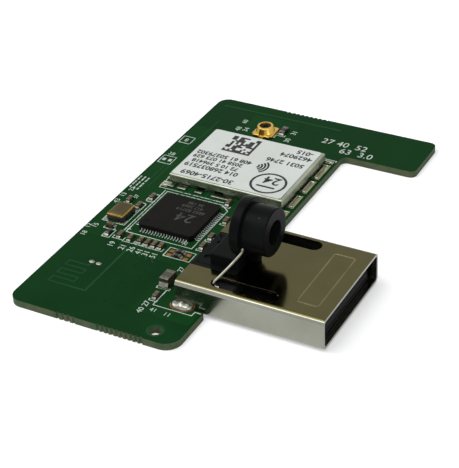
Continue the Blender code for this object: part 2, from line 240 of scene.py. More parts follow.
def surfaceWearGroup():
    # soft patches and fine grain: a tone mask, a roughness value and a height
    tree, source, sink = newGroup("surfaceWear", [
        ("Patch Scale", "NodeSocketFloat", 300.0), ("Grain Scale", "NodeSocketFloat", 6000.0),
        ("Roughness", "NodeSocketFloat", 0.4), ("Spread", "NodeSocketFloat", 0.1),
        ("Grain", "NodeSocketFloat", 0.5)],
        [("Mask", "NodeSocketFloat"), ("Roughness", "NodeSocketFloat"),
         ("Height", "NodeSocketFloat")])
    place = tree.nodes.new("ShaderNodeTexCoord")
    patch = tree.nodes.new("ShaderNodeTexNoise")
    patch.inputs["Detail"].default_value = 4
    grain = tree.nodes.new("ShaderNodeTexNoise")
    grain.inputs["Detail"].default_value = 3
    ramp = tree.nodes.new("ShaderNodeMapRange")
    ramp.inputs["From Min"].default_value = 0.35
    ramp.inputs["From Max"].default_value = 0.65
    shift = tree.nodes.new("ShaderNodeMath")
    shift.operation = "MULTIPLY_ADD"
    centre = tree.nodes.new("ShaderNodeMath")
    centre.operation = "SUBTRACT"
    centre.inputs[1].default_value = 0.5
    grainAmount = tree.nodes.new("ShaderNodeMath")
    grainAmount.operation = "MULTIPLY"
    link = tree.links.new
    link(place.outputs["Object"], patch.inputs["Vector"])
    link(place.outputs["Object"], grain.inputs["Vector"])
    link(source.outputs["Patch Scale"], patch.inputs["Scale"])
    link(source.outputs["Grain Scale"], grain.inputs["Scale"])
    link(patch.outputs["Fac"], ramp.inputs["Value"])
    link(ramp.outputs["Result"], sink.inputs["Mask"])
    link(ramp.outputs["Result"], centre.inputs[0])
    link(centre.outputs[0], shift.inputs[0])
    link(source.outputs["Spread"], shift.inputs[1])
    link(source.outputs["Roughness"], shift.inputs[2])
    link(shift.outputs[0], sink.inputs["Roughness"])
    link(grain.outputs["Fac"], grainAmount.inputs[0])
    link(source.outputs["Grain"], grainAmount.inputs[1])
    link(grainAmount.outputs[0], sink.inputs["Height"])
    return tree


def specksGroup():
    # small round specks, such as dust, pits or water marks
    tree, source, sink = newGroup("specks", [
        ("Scale", "NodeSocketFloat", 900.0), ("Size", "NodeSocketFloat", 0.15)],
        [("Mask", "NodeSocketFloat")])
    place = tree.nodes.new("ShaderNodeTexCoord")
    cells = tree.nodes.new("ShaderNodeTexVoronoi")
    near = tree.nodes.new("ShaderNodeMath")
    near.operation = "LESS_THAN"
    tree.links.new(place.outputs["Object"], cells.inputs["Vector"])
    tree.links.new(source.outputs["Scale"], cells.inputs["Scale"])
    tree.links.new(cells.outputs["Distance"], near.inputs[0])
    tree.links.new(source.outputs["Size"], near.inputs[1])
    tree.links.new(near.outputs[0], sink.inputs["Mask"])
    return tree


def brushGroup():
    # fine lines drawn out along one direction
    tree, source, sink = newGroup("drawnLines", [
        ("Stretch", "NodeSocketVector", (60.0, 4000.0, 4000.0))],
        [("Height", "NodeSocketFloat")])
    place = tree.nodes.new("ShaderNodeTexCoord")
    pull = tree.nodes.new("ShaderNodeVectorMath")
    pull.operation = "MULTIPLY"
    lines = tree.nodes.new("ShaderNodeTexNoise")
    lines.inputs["Scale"].default_value = 1.0
    tree.links.new(place.outputs["Object"], pull.inputs[0])
    tree.links.new(source.outputs["Stretch"], pull.inputs[1])
    tree.links.new(pull.outputs[0], lines.inputs["Vector"])
    tree.links.new(lines.outputs["Fac"], sink.inputs["Height"])
    return tree


groups = {"wear": surfaceWearGroup(), "specks": specksGroup(), "brush": brushGroup()}

# colours are linear; speck is the share of colour that small specks take
finishes = {
    "maskOverCopper": dict(color=(0.0040, 0.034, 0.0072), other=(0.0056, 0.042, 0.0098), rough=0.36,
                           spread=0.1, grain=0.25, patch=90, grainScale=2500, specular=0.014,
                           speck=(0.03, 0.10, 0.045), speckScale=260, speckSize=0.03),
    "maskOverLaminate": dict(color=(0.0036, 0.029, 0.0068), other=(0.0048, 0.034, 0.0084), rough=0.38,
                             spread=0.08, grain=0.3, patch=140, grainScale=2500, specular=0.014),
    "maskOverTrack": dict(color=(0.0095, 0.05, 0.0165), other=(0.012, 0.058, 0.02), rough=0.36,
                          spread=0.08, grain=0.3, patch=200, grainScale=2500, specular=0.018),
    "laminateEdge": dict(color=(0.040, 0.078, 0.036), other=(0.095, 0.11, 0.058), rough=0.75,
                         spread=0.2, grain=1.0, patch=700, grainScale=9000, bump=0.03,
                         specular=0.2, brush=(700, 700, 14000)),
    "printInk": dict(color=(0.50, 0.56, 0.51), other=(0.36, 0.44, 0.38), rough=0.6, spread=0.2,
                     grain=0.8, patch=1500, grainScale=9000, bump=0.006),
    "plugNickel": dict(color=(0.305, 0.315, 0.27), other=(0.25, 0.25, 0.205), metallic=1.0,
                       rough=0.17, spread=0.1, grain=0.3, patch=160, grainScale=3500,
                       bump=0.0012, speck=(0.16, 0.15, 0.12), speckScale=420, speckSize=0.05),
    # the shell's top: a darker olive than its sides, a painted dark reflection of the dim room that the flat
    # top mirrors
    "plugNickelTop": dict(color=(0.104, 0.094, 0.04), other=(0.086, 0.076, 0.03), metallic=1.0,
                          rough=0.12, spread=0.08, grain=0.3, patch=120, grainScale=3500,
                          bump=0.0008, speck=(0.15, 0.14, 0.085), speckScale=330, speckSize=0.05),
    # the pressed ridge: lighter than the shell top, a painted highlight on its slopes
    "pressedEdge": dict(color=(0.20, 0.175, 0.085), other=(0.125, 0.112, 0.05), metallic=1.0,
                        rough=0.2, spread=0.1, grain=0.3, patch=240, grainScale=3500, bump=0.0008),
    "plugPlastic": dict(color=(0.008, 0.008, 0.009), other=(0.014, 0.014, 0.015), rough=0.5, specular=0.05,
                        spread=0.12, grain=0.7, patch=400, grainScale=7000, bump=0.006),
    "bracketPlastic": dict(color=(0.0036, 0.0041, 0.0043), other=(0.0056, 0.0062, 0.0062),
                           rough=0.34, specular=0.03,
                           spread=0.16, grain=0.6, patch=260, grainScale=5200, bump=0.006,
                           speck=(0.045, 0.045, 0.045), speckScale=520, speckSize=0.05),
    "springSteel": dict(color=(0.30, 0.30, 0.24), other=(0.21, 0.205, 0.16), metallic=1.0,
                        rough=0.33, spread=0.15, grain=0.6, patch=900, grainScale=8000,
                        bump=0.004),
    "solder": dict(color=(0.31, 0.32, 0.275), other=(0.15, 0.155, 0.125), metallic=1.0, rough=0.2,
                   spread=0.22, grain=0.8, patch=800, grainScale=4500, bump=0.008),
    "shieldTin": dict(color=(0.40, 0.43, 0.34), other=(0.27, 0.30, 0.225), metallic=1.0,
                      rough=0.36, spread=0.2, grain=0.6, patch=350, grainScale=5000, bump=0.006,
                      speck=(0.16, 0.19, 0.15), speckScale=700, speckSize=0.12),
    "labelFilm": dict(color=(0.57, 0.60, 0.575), other=(0.53, 0.56, 0.53), rough=0.6, specular=0.1,
                      spread=0.1, grain=0.8, patch=220, grainScale=7000, bump=0.003),
    "labelInk": dict(color=(0.018, 0.018, 0.018), other=(0.05, 0.05, 0.05), rough=0.6,
                     specular=0.1, spread=0.1,
                     grain=0.8, patch=2600, grainScale=9000, bump=0.003),
    "chipEpoxy": dict(color=(0.0072, 0.007, 0.006), other=(0.0098, 0.0094, 0.0082), rough=0.48, specular=0.02,
                      spread=0.12, grain=1.0, patch=600, grainScale=9000, bump=0.008,
                      speck=(0.035, 0.033, 0.03), speckScale=1500, speckSize=0.08),
    "leadTin": dict(color=(0.62, 0.66, 0.64), other=(0.42, 0.46, 0.44), metallic=0.85, rough=0.36,
                    spread=0.2, grain=0.8, patch=2500, grainScale=9000, bump=0.004),
    "goldPlate": dict(color=(0.62, 0.40, 0.085), other=(0.46, 0.28, 0.05), metallic=1.0,
                      rough=0.28, spread=0.16, grain=0.6, patch=900, grainScale=7000, bump=0.004),
    "bronzeLid": dict(color=(0.088, 0.070, 0.027), other=(0.062, 0.050, 0.019), metallic=1.0,
                      rough=0.42, spread=0.16, grain=0.8, patch=700, grainScale=8000, bump=0.005),
    "blackCeramic": dict(color=(0.016, 0.015, 0.018), other=(0.03, 0.028, 0.03), rough=0.5,
                         spread=0.14, grain=0.8, patch=900, grainScale=9000, bump=0.008),
    "capacitorCeramic": dict(color=(0.075, 0.05, 0.024), other=(0.12, 0.08, 0.04), rough=0.5, specular=0.1,
                             spread=0.15, grain=1.0, patch=1600, grainScale=9000, bump=0.012),
    "supplyCeramic": dict(color=(0.05, 0.052, 0.038), other=(0.07, 0.072, 0.055), rough=0.5, specular=0.1,
                          spread=0.15, grain=1.0, patch=900, grainScale=9000, bump=0.012),
    "chipMark": dict(color=(0.05, 0.05, 0.045), other=(0.032, 0.032, 0.028), rough=0.55, specular=0.12,
                     spread=0.1, grain=1.0, patch=900, grainScale=9000, bump=0.006),
    "resistorGlaze": dict(color=(0.010, 0.010, 0.011), other=(0.018, 0.018, 0.02), rough=0.3, specular=0.2,
                          spread=0.1, grain=0.6, patch=1200, grainScale=9000, bump=0.006),
    "smallSolder": dict(color=(0.21, 0.215, 0.18), other=(0.12, 0.125, 0.10), metallic=1.0, rough=0.32,
                        spread=0.2, grain=0.9, patch=1800, grainScale=7000, bump=0.01),
    "paleSolder": dict(color=(0.50, 0.475, 0.31), other=(0.32, 0.31, 0.195), metallic=1.0, rough=0.3,
                       spread=0.2, grain=0.9, patch=900, grainScale=6000, bump=0.008),
    "endTin": dict(color=(0.15, 0.148, 0.118), other=(0.085, 0.085, 0.068), metallic=0.9, rough=0.42,
                   spread=0.2, grain=0.9, patch=1800, grainScale=9000, bump=0.01),
    "bareCopper": dict(color=(0.30, 0.125, 0.045), other=(0.20, 0.08, 0.03), metallic=0.9,
                       rough=0.4, spread=0.2, grain=0.7, patch=1200, grainScale=8000, bump=0.004),
}


def makeMaterial(name, color, other, rough, spread, grain, patch, grainScale, metallic=0.0,
                 bump=0.004, specular=0.3, speck=None, speckScale=900, speckSize=0.1, brush=None):
    mat = bpy.data.materials.new(name)
    mat.use_nodes = True
    tree = mat.node_tree
    link = tree.links.new
    shader = tree.nodes["Principled BSDF"]
    shader.inputs["Metallic"].default_value = metallic
    shader.inputs["Specular IOR Level"].default_value = specular
    wear = tree.nodes.new("ShaderNodeGroup")
    wear.node_tree = groups["wear"]
    wear.inputs["Patch Scale"].default_value = patch
    wear.inputs["Grain Scale"].default_value = grainScale
    wear.inputs["Roughness"].default_value = rough
    wear.inputs["Spread"].default_value = spread
    wear.inputs["Grain"].default_value = grain
    blend = tree.nodes.new("ShaderNodeMix")
    blend.data_type = "RGBA"
    blend.inputs["A"].default_value = (*color, 1)
    blend.inputs["B"].default_value = (*other, 1)
    link(wear.outputs["Mask"], blend.inputs["Factor"])
    tint = blend.outputs["Result"]
    if speck:
        dots = tree.nodes.new("ShaderNodeGroup")
        dots.node_tree = groups["specks"]
        dots.inputs["Scale"].default_value = speckScale
        dots.inputs["Size"].default_value = speckSize
        over = tree.nodes.new("ShaderNodeMix")
        over.data_type = "RGBA"
        over.inputs["B"].default_value = (*speck, 1)
        link(tint, over.inputs["A"])
        link(dots.outputs["Mask"], over.inputs["Factor"])
        tint = over.outputs["Result"]
    link(tint, shader.inputs["Base Color"])
    link(wear.outputs["Roughness"], shader.inputs["Roughness"])
    height = wear.outputs["Height"]
    if brush:
        lines = tree.nodes.new("ShaderNodeGroup")
        lines.node_tree = groups["brush"]
        lines.inputs["Stretch"].default_value = brush
        both = tree.nodes.new("ShaderNodeMath")
        both.operation = "ADD"
        link(height, both.inputs[0])
        link(lines.outputs["Height"], both.inputs[1])
        height = both.outputs[0]
    relief = tree.nodes.new("ShaderNodeBump")
    relief.inputs["Distance"].default_value = bump * mm
    link(height, relief.inputs["Height"])
    link(relief.outputs["Normal"], shader.inputs["Normal"])
    return mat


mats = {name: makeMaterial(name, **values) for name, values in finishes.items()}
print("materials made,", len(mats))

# ---- camera, floor and light ----

camera = dict(place=(73.48, -134.29, 100.86), azimuth=29.87, elevation=33.65, roll=-3.01,
              lens=111.45)
stageLook = dict(floor=(0.74, 0.745, 0.755), glow=0.33, size=3.0, world=0.5)
lamps = (
    # name, direction from the object (azimuth, elevation), distance, size, power
    ("overhead", -35, 70, 0.55, 0.40, 1.7),
    ("fromLeft", -75, 38, 0.60, 0.35, 0.9),
    ("fromRight", 62, 30, 0.65, 0.30, 0.5),
)


def spot(azimuth, elevation, distance):
    a, e = math.radians(azimuth), math.radians(elevation)
    return Vector((math.sin(a) * math.cos(e), -math.cos(a) * math.cos(e), math.sin(e))) * distance


def makeCamera():
    data = bpy.data.cameras.new("camera")
    data.lens = camera["lens"]
    data.clip_start = 0.01
    data.clip_end = 20
    obj = bpy.data.objects.new("camera", data)
    bpy.context.collection.objects.link(obj)
    obj.location = Vector(camera["place"]) * mm
    away = -spot(camera["azimuth"], camera["elevation"], 1)
    tilt = away.to_track_quat("-Z", "Y").to_matrix()
    obj.rotation_euler = (tilt @ Matrix.Rotation(math.radians(camera["roll"]), 3, "Z")).to_euler()
    bpy.context.scene.camera = obj


def seenRays(tree, unseen, seen):
    # one value for light rays, another for what the camera, shiny metal and glass look at
    path = tree.nodes.new("ShaderNodeLightPath")
    total = path.outputs["Is Camera Ray"]
    for label in ("Is Glossy Ray", "Is Transmission Ray"):
        add = tree.nodes.new("ShaderNodeMath")
        add.operation = "MAXIMUM"
        tree.links.new(total, add.inputs[0])
        tree.links.new(path.outputs[label], add.inputs[1])
        total = add.outputs[0]
    level = tree.nodes.new("ShaderNodeMapRange")
    level.inputs["To Min"].default_value = unseen
    level.inputs["To Max"].default_value = seen
    tree.links.new(total, level.inputs["Value"])
    return level.outputs["Result"]


def makeStage():
    # pale floor: the camera and shiny metal see it as near white, and it takes a soft shadow
    deselectAll()
    bpy.ops.mesh.primitive_plane_add(size=stageLook["size"], location=(0, 0, -0.00002))
    floor = bpy.context.object
    floor.name = "floor"
    mat = bpy.data.materials.new("paleFloor")
    mat.use_nodes = True
    shader = mat.node_tree.nodes["Principled BSDF"]
    shader.inputs["Base Color"].default_value = (*stageLook["floor"], 1)
    shader.inputs["Roughness"].default_value = 0.9
    shader.inputs["Specular IOR Level"].default_value = 0.1
    shader.inputs["Emission Color"].default_value = (1, 1, 1, 1)
    level = seenRays(mat.node_tree, 0.0, stageLook["glow"])
    mat.node_tree.links.new(level, shader.inputs["Emission Strength"])
    paint(floor, mat)


def makeLight():
    for name, azimuth, elevation, distance, size, power in lamps:
        data = bpy.data.lights.new(name, "AREA")
        data.shape = "SQUARE"
        data.size = size
        data.energy = power
        obj = bpy.data.objects.new(name, data)
        bpy.context.collection.objects.link(obj)
        obj.location = spot(azimuth, elevation, distance)
        obj.rotation_euler = (-obj.location).to_track_quat("-Z", "Y").to_euler()
    world = bpy.data.worlds.new("studio")
    world.use_nodes = True
    nodes = world.node_tree.nodes
    nodes["Background"].inputs["Color"].default_value = (1, 1, 1, 1)
    level = seenRays(world.node_tree, stageLook["world"], 1.0)
    world.node_tree.links.new(level, nodes["Background"].inputs["Strength"])
    bpy.context.scene.world = world
    bpy.context.scene.view_settings.view_transform = "Standard"


makeCamera()
makeStage()
makeLight()
print("camera, floor and light made")


# ---- the board ----

boardLow, boardHigh = boxOf("circuit_board")
shellLow, shellHigh = boxOf("plug_shell")
left, near, far = boardLow[0], boardLow[1], boardHigh[1]
armEnd = boardHigh[0]
deck = boardHigh[2]
plugY = (shellLow[1] + shellHigh[1]) / 2
plugHalf = (shellHigh[1] - shellLow[1]) / 2
shellRear, mouth = shellLow[0], shellHigh[0]
shellTop = shellHigh[2]

board = dict(width=22.7, armWidth=8.15, bayGap=0.1, hole=(0.4, -25.06), holeRadius=0.8,
             maskRise=0.018, biteRadius=0.2, bitePitch=0.62)
right = left + board["width"]
armNear = far - board["armWidth"]


def roundedOutline(corners, steps=8):
    points = []
    for i, (x, y, radius) in enumerate(corners):
        here = Vector((x, y))
        if not radius:
            points.append(here)
            continue
        back = (Vector(corners[i - 1][:2]) - here).normalized()
        ahead = (Vector(corners[(i + 1) % len(corners)][:2]) - here).normalized()
        half = back.angle(ahead) / 2
        centre = here + (back + ahead).normalized() * (radius / math.sin(half))
        start = here + back * (radius / math.tan(half)) - centre
        end = here + ahead * (radius / math.tan(half)) - centre
        sweep = math.atan2(start.x * end.y - start.y * end.x, start.dot(end))
        points += [centre + Matrix.Rotation(sweep * k / steps, 2) @ start for k in range(steps + 1)]
    return points


def ring(x, y, radius, count=40):
    return [Vector((x + radius * math.cos(math.tau * k / count),
                    y + radius * math.sin(math.tau * k / count))) for k in range(count)]


def sheetOf(outlines, low, high):
    # a flat piece with holes, from closed outlines
    curve = bpy.data.curves.new("sheet", "CURVE")
    curve.dimensions = "2D"
    curve.fill_mode = "BOTH"
    curve.extrude = (high - low) / 2 * mm
    for points in outlines:
        spline = curve.splines.new("POLY")
        spline.points.add(len(points) - 1)
        for slot, point in zip(spline.points, points):
            slot.co = (point[0] * mm, point[1] * mm, 0, 1)
        spline.use_cyclic_u = True
    obj = bpy.data.objects.new("sheet", curve)
    bpy.context.collection.objects.link(obj)
    obj.location.z = (low + high) / 2 * mm
    pick(obj)
    bpy.ops.object.convert(target="MESH")
    obj = settle(bpy.context.object)
    bpy.ops.object.mode_set(mode="EDIT")
    bpy.ops.mesh.select_all(action="SELECT")
    bpy.ops.mesh.remove_doubles(threshold=1e-7)
    bpy.ops.mesh.normals_make_consistent(inside=False)
    bpy.ops.object.mode_set(mode="OBJECT")
    return obj


def bites(xFrom, xTo, y, side):
    # a row of half-round bites left along an edge where the board was snapped off
    points = []
    count = int(abs(xTo - xFrom) / board["bitePitch"])
    step = (xTo - xFrom) / count
    for k in range(count):
        x = xFrom + step * (k + 0.5)
        radius = board["biteRadius"] * random.uniform(0.75, 1.0)
        turn = range(0, 181, 36)
        sweep = [math.radians(a) for a in turn]
        way = 1 if step > 0 else -1
        points += [(x - way * radius * math.cos(a), y + side * radius * math.sin(a), 0)
                   for a in sweep]
    return points


def boardOutline(inset=0.0):
    bay = plugHalf + board["bayGap"] + inset
    i = inset
    rearEdge = shellRear - board["bayGap"] - i
    return [
        (left + i, near + i, 1.6), *([] if inset else bites(-12.2, -9.2, near, 1)),
        *([] if inset else bites(-6.6, -0.2, near, 1)),
        (right - i, near + i, 2.0), (right - i, plugY - bay, 0.25),
        (rearEdge, plugY - bay, 0.3), (rearEdge, plugY + bay, 0.3),
        (right - i, plugY + bay, 0.25), (right - i, armNear + i, 0.8),
        (armEnd - i, armNear + i, 0.9), (armEnd - i, far - i, 0.9),
        *([] if inset else bites(-2.0, -8.8, far, -1)), (left + i, far - i, 1.6)]


def makeBoard():
    # glass laminate with green mask on both faces
    hole = ring(*board["hole"], board["holeRadius"])
    core = sheetOf([roundedOutline(boardOutline()), hole], 0.014, deck - board["maskRise"])
    core.data.materials.append(mats["laminateEdge"])
    core.data.materials.append(mats["maskOverLaminate"])
    for face in core.data.polygons:
        face.material_index = 1 if abs(face.normal.z) > 0.5 else 0
    makePiece(core, "boardCore", ["circuit_board"])


def makeMask():
    # copper areas stand a little proud under the mask; the aerial corner and rims are bare
    z = deck - board["maskRise"]
    rim = 0.35
    hole = ring(*board["hole"], 1.45)
    main = [(left + rim, -11.4, 0.5), (-10.2, -11.4, 0.2), (-10.2, -12.9, 0.2),
            (-4.5, -12.9, 0.2), (-4.5, -22.8, 0.2), (right - rim, -22.8, 0.3),
            (right - rim, plugY - plugHalf - 0.4, 0.2),
            (shellRear - 0.4, plugY - plugHalf - 0.4, 0.2),
            (shellRear - 0.4, plugY + plugHalf + 0.4, 0.2),
            (right - rim, plugY + plugHalf + 0.4, 0.2), (right - rim, 17.4, 0.3),
            (-5.0, 17.4, 0.3), (-5.0, 24.2, 0.3), (-12.2, 24.2, 0.3), (-12.2, 18.2, 0.3),
            (left + rim, 18.2, 0.3)]
    top = sheetOf([roundedOutline(main)], z, deck)
    makePiece(paint(top, mats["maskOverCopper"]), "maskOverPour")
    under = [(left + rim, near + rim, 1.3), (right - rim, near + rim, 1.7),
             (right - rim, plugY - plugHalf - 0.5, 0.2), (shellRear - 0.5, plugY - plugHalf - 0.5, 0.2),
             (shellRear - 0.5, plugY + plugHalf + 0.5, 0.2), (right - rim, plugY + plugHalf + 0.5, 0.2),
             (right - rim, 17.4, 0.3), (left + rim, 17.4, 0.3)]
    back = sheetOf([roundedOutline(under), hole], 0.006, 0.018)
    makePiece(paint(back, mats["maskOverCopper"]), "maskOverPourBelow")


def makeTracks():
    # aerials and tracks show as fine raised lines under the mask
    z = deck - 0.004
    meander = [(-11.2, -21.9), (-16.4, -21.9), (-16.4, -20.9), (-13.4, -20.9), (-13.4, -20.0),
               (-16.4, -20.0), (-16.4, -19.1), (-13.4, -19.1), (-13.4, -18.2), (-16.4, -18.2),
               (-16.4, -17.3), (-13.6, -17.3), (-13.6, -16.5)]
    outer = [(-11.2, -21.9), (-11.2, -12.0)]
    farAerial = [(-17.6, 24.9), (0.6, 24.9)]
    aerial = strokes([meander, outer, farAerial], 0.3, z, 0.14)
    makePiece(paint(aerial, mats["maskOverTrack"]), "aerialTracks")
    runs = []
    for k in range(9):
        x = -12.0 + k * 0.82
        runs.append([(x, -0.2), (x, 0.9), (x + 0.5, 1.4), (x + 0.5, 3.4)])
    for k in range(7):
        y = -7.2 + k * 0.95
        runs.append([(-12.7, y), (-13.4, y), (-13.9, y + 0.4), (-14.6, y + 0.4)])
    for k in range(6):
        x = -12.6 + k * 1.05
        runs.append([(x, -11.0), (x, -11.9 - 0.2 * k), (x + 0.6, -12.6 - 0.2 * k)])
    runs += [[(-9.9, 17.6 - 1.0), (-9.9, 18.6), (-9.2, 19.2)], [(-5.8, -10.3), (-7.0, -10.9)],
             [(-1.9, -11.3), (-0.6, -11.3)], [(-3.5, -10.3), (-0.6, -9.6)],
             [(-16.4, 1.2), (-16.4, 7.0), (-15.2, 8.2), (-15.2, 12.0)],
             [(-17.1, 0.8), (-17.1, 6.6), (-17.1, 12.0), (-16.2, 16.0), (-16.2, 20.6)]]
    lines = strokes(runs, 0.16, deck, 0.2)
    makePiece(paint(lines, mats["maskOverTrack"]), "signalTracks")


def viaPlaces():
    places = [(x, y) for x in (-17.9, -17.1) for y in (5.2, 10.8, 16.2, 19.4, 21.9)]
    places += [(x + 0.4, 23.0) for x in range(-13, -2, 2)] + [(x, -22.6) for x in range(-8, 3, 2)]
    places += [(random.uniform(-12.9, -3.9), random.uniform(1.3, 2.6)) for k in range(10)]
    places += [(random.uniform(-2.3, 0.6), random.uniform(-3.6, 2.0)) for k in range(9)]
    places += [(random.uniform(-9.0, -3.6), random.uniform(-20.5, -12.6)) for k in range(12)]
    places += [(-5.9 + 0.9 * k, 17.0) for k in range(8)]
    return places


def makeVias():
    # small tented holes: a low ring with a dimple
    deselectAll()
    bpy.ops.mesh.primitive_torus_add(major_radius=0.17 * mm, minor_radius=0.07 * mm,
                                     major_segments=16, minor_segments=6)
    one = bpy.context.object
    one.scale = (1, 1, 0.4)
    settle(one)
    copies = [copyTo(one, (x, y, z)) for x, y in viaPlaces() for z in (deck - 0.006, 0.028)]
    bpy.data.objects.remove(one, do_unlink=True)
    makePiece(paint(joinAll(copies), mats["maskOverCopper"]), "tentedVias")


def makeBarePads():
    # ring at the hole in the track mask's finish, bright aerial pads, copper rings at the plug's legs
    x, y = board["hole"]
    land = sheetOf([ring(x, y, 1.12), ring(x, y, board["holeRadius"])], deck - 0.018, deck)
    makePiece(paint(land, mats["maskOverTrack"]), "holeLand")
    spots = []
    for px, py in ((-13.7, -16.45), (-12.7, -16.5)):
        deselectAll()
        bpy.ops.mesh.primitive_uv_sphere_add(segments=20, ring_count=10, radius=0.36 * mm,
                                             location=(px * mm, py * mm, deck * mm))
        dot = bpy.context.object
        dot.scale = (1.15, 0.85, 0.4)
        spots.append(settle(dot))
    makePiece(paint(joinAll(spots), mats["solder"]), "aerialSolder")
    rings = []
    for side in (-1, 1):
        wall = plugY + side * (plugHalf + 0.03)
        outline = [(0.83 + 1.56 * math.cos(math.radians(a)),
                    wall + side * 1.13 * math.sin(math.radians(a))) for a in range(0, 181, 9)]
        rings.append(sheetOf([outline if side > 0 else outline[::-1]], deck - 0.02, deck + 0.02))
    makePiece(paint(joinAll(rings), mats["bareCopper"]), "legRings")


makeBoard()
makeMask()
makeTracks()
makeVias()
makeBarePads()
print("board made")


# ---- the plug ----

plug = dict(sheet=0.35, bend=0.7, slotLength=8.6, slotWidth=1.9, slotStart=3.9, slotOffset=5.67,
            cutoutHalf=3.7, cutoutEnd=6.0, panel=(14.5, 17.15, 5.15))


def slotCutter(y, low, high):
    half = plug["slotWidth"] / 2
    a, b = plug["slotStart"] + half, plug["slotStart"] + plug["slotLength"] - half
    return sheetOf([arc(b, y, half, -90, 90, 14) + arc(a, y, half, 90, 270, 14)], low, high)


def makeShell():
    # a box open at both ends, bent round its long edges and given the sheet's thickness
    deselectAll()
    bpy.ops.mesh.primitive_cube_add(size=1, location=(
        (shellRear + mouth) / 2 * mm, plugY * mm, (shellLow[2] + shellTop) / 2 * mm))
    shell = bpy.context.object
    shell.scale = ((mouth - shellRear) * mm, 2 * plugHalf * mm, (shellTop - shellLow[2]) * mm)
    settle(shell)
    bpy.ops.object.mode_set(mode="EDIT")
    bm = bmesh.from_edit_mesh(shell.data)
    for face in bm.faces:
        face.select_set(abs(face.normal.x) > 0.9)
    bmesh.update_edit_mesh(shell.data)
    bpy.ops.mesh.delete(type="ONLY_FACE")
    bpy.ops.mesh.select_all(action="DESELECT")
    bm = bmesh.from_edit_mesh(shell.data)
    for edge in bm.edges:
        a, b = edge.verts
        edge.select_set(abs(a.co.x - b.co.x) > 0.01)
    bmesh.update_edit_mesh(shell.data)
    bpy.ops.mesh.bevel(offset=plug["bend"] * mm, segments=8, profile=0.5, affect="EDGES")
    bpy.ops.object.mode_set(mode="OBJECT")
    wall = shell.modifiers.new("wall", "SOLIDIFY")
    wall.thickness = plug["sheet"] * mm
    wall.offset = -1
    applyModifiers(shell)
    combine(shell, block((shellRear - 1, plugY - plug["cutoutHalf"], shellTop - 1),
                         (plug["cutoutEnd"], plugY + plug["cutoutHalf"], shellTop + 1)),
            "DIFFERENCE")
    for side in (-1, 1):
        y = plugY + side * plug["slotOffset"]
        combine(shell, slotCutter(y, shellTop - 1, shellTop + 1), "DIFFERENCE")
        latch = block((9.2, y - 1.0, shellLow[2] - 1), (11.9, y + 1.0, shellLow[2] + 1))
        combine(shell, latch, "DIFFERENCE")
    seam = block((shellRear - 1, plugY - 0.03, shellLow[2] - 1), (mouth + 1, plugY + 0.03, shellLow[2] + 1))
    combine(shell, seam, "DIFFERENCE")
    bevelEdges(shell, 0.03, 2, 40)
    shell.data.materials.append(mats["plugNickel"])
    shell.data.materials.append(mats["plugNickelTop"])
    # the upward faces of the top take the darker finish, a painted dark reflection rather than a different
    # metal
    for face in shell.data.polygons:
        high = face.center.z > (shellTop - 0.12) * mm
        face.material_index = 1 if high and face.normal.z > 0.6 else 0
    makePiece(shell, "plugShell", ["plug_shell"])


def makePanelMark():
    # pressed outline near the mouth, a thin ridge with round corners; its lighter finish is a painted
    # highlight where the ridge's slopes catch the light
    x0, x1, half = plug["panel"]
    corners = [(x0, plugY - half, 0.3), (x1, plugY - half, 0.3),
               (x1, plugY + half, 0.3), (x0, plugY + half, 0.3)]
    ridge = strokes([[tuple(p) for p in roundedOutline(corners)]], 0.17, shellTop - 0.004, 0.3,
                    closed=True, sides=3)
    makePiece(paint(ridge, mats["pressedEdge"]), "panelRidge")


def makeTongue():
    # the tongue's front is chamfered and carries a shallow key line
    low, high = boxOf("plug_insulator")
    body = block((low[0], low[1], low[2]), (6.6, high[1], high[2]), 0.25, 3)
    tongue = block((6.0, low[1] + 0.5, low[2]), (high[0], high[1] - 0.5, 2.15), 0.16, 3)
    combine(body, tongue, "UNION")
    for k in range(1, 5):
        cLow, cHigh = boxOf("plug_contact_%d" % k)
        groove = block((low[0] - 1, cLow[1] - 0.06, 1.93), (17.7, cHigh[1] + 0.06, 2.3))
        combine(body, groove, "DIFFERENCE")
    recess = block((high[0] - 0.25, low[1] + 1.2, low[2] + 0.45),
                   (high[0] + 1, high[1] - 1.2, low[2] + 0.62))
    combine(body, recess, "DIFFERENCE")
    makePiece(paint(body, mats["plugPlastic"]), "plugTongue", ["plug_insulator"])


def makeContacts():
    for k in range(1, 5):
        paint(bpy.data.objects["plug_contact_%d" % k], mats["goldPlate"])


def makeLegSolder():
    # solder drawn up between the shell's leg and the copper ring, with a bright belly
    for name, side in (("solder_near", -1), ("solder_far", 1)):
        low, high = boxOf(name)
        wall = low[1] if side > 0 else high[1]
        deselectAll()
        bpy.ops.mesh.primitive_uv_sphere_add(segments=40, ring_count=20, radius=1)
        dome = bpy.context.object
        dome.scale = (1.4 * mm, 0.99 * mm, 0.72 * mm)
        dome.location = (0.83 * mm, wall * mm, deck * mm)
        settle(dome)
        keep = block((-2, min(wall, wall + side * 3), deck + 0.01),
                     (4, max(wall, wall + side * 3), deck + 3))
        combine(dome, keep, "INTERSECT")
        bpy.ops.object.mode_set(mode="EDIT")
        bpy.ops.mesh.select_all(action="SELECT")
        bpy.ops.mesh.remove_doubles(threshold=1e-7)
        bpy.ops.object.mode_set(mode="OBJECT")
        for vertex in dome.data.vertices:
            # the leg pulls the middle up, and the surface waves a little
            x = (vertex.co.x / mm - 0.83) / 1.4
            rise = (vertex.co.z / mm - deck) / 0.72
            if rise > 0.1:
                vertex.co.z += (0.07 * math.cos(7 * x) - 0.10 * x * x) * rise * mm
        makePiece(paint(dome, mats["solder"]), "legSolder" + ("Near" if side < 0 else "Far"),
                  [name], smooth=60)


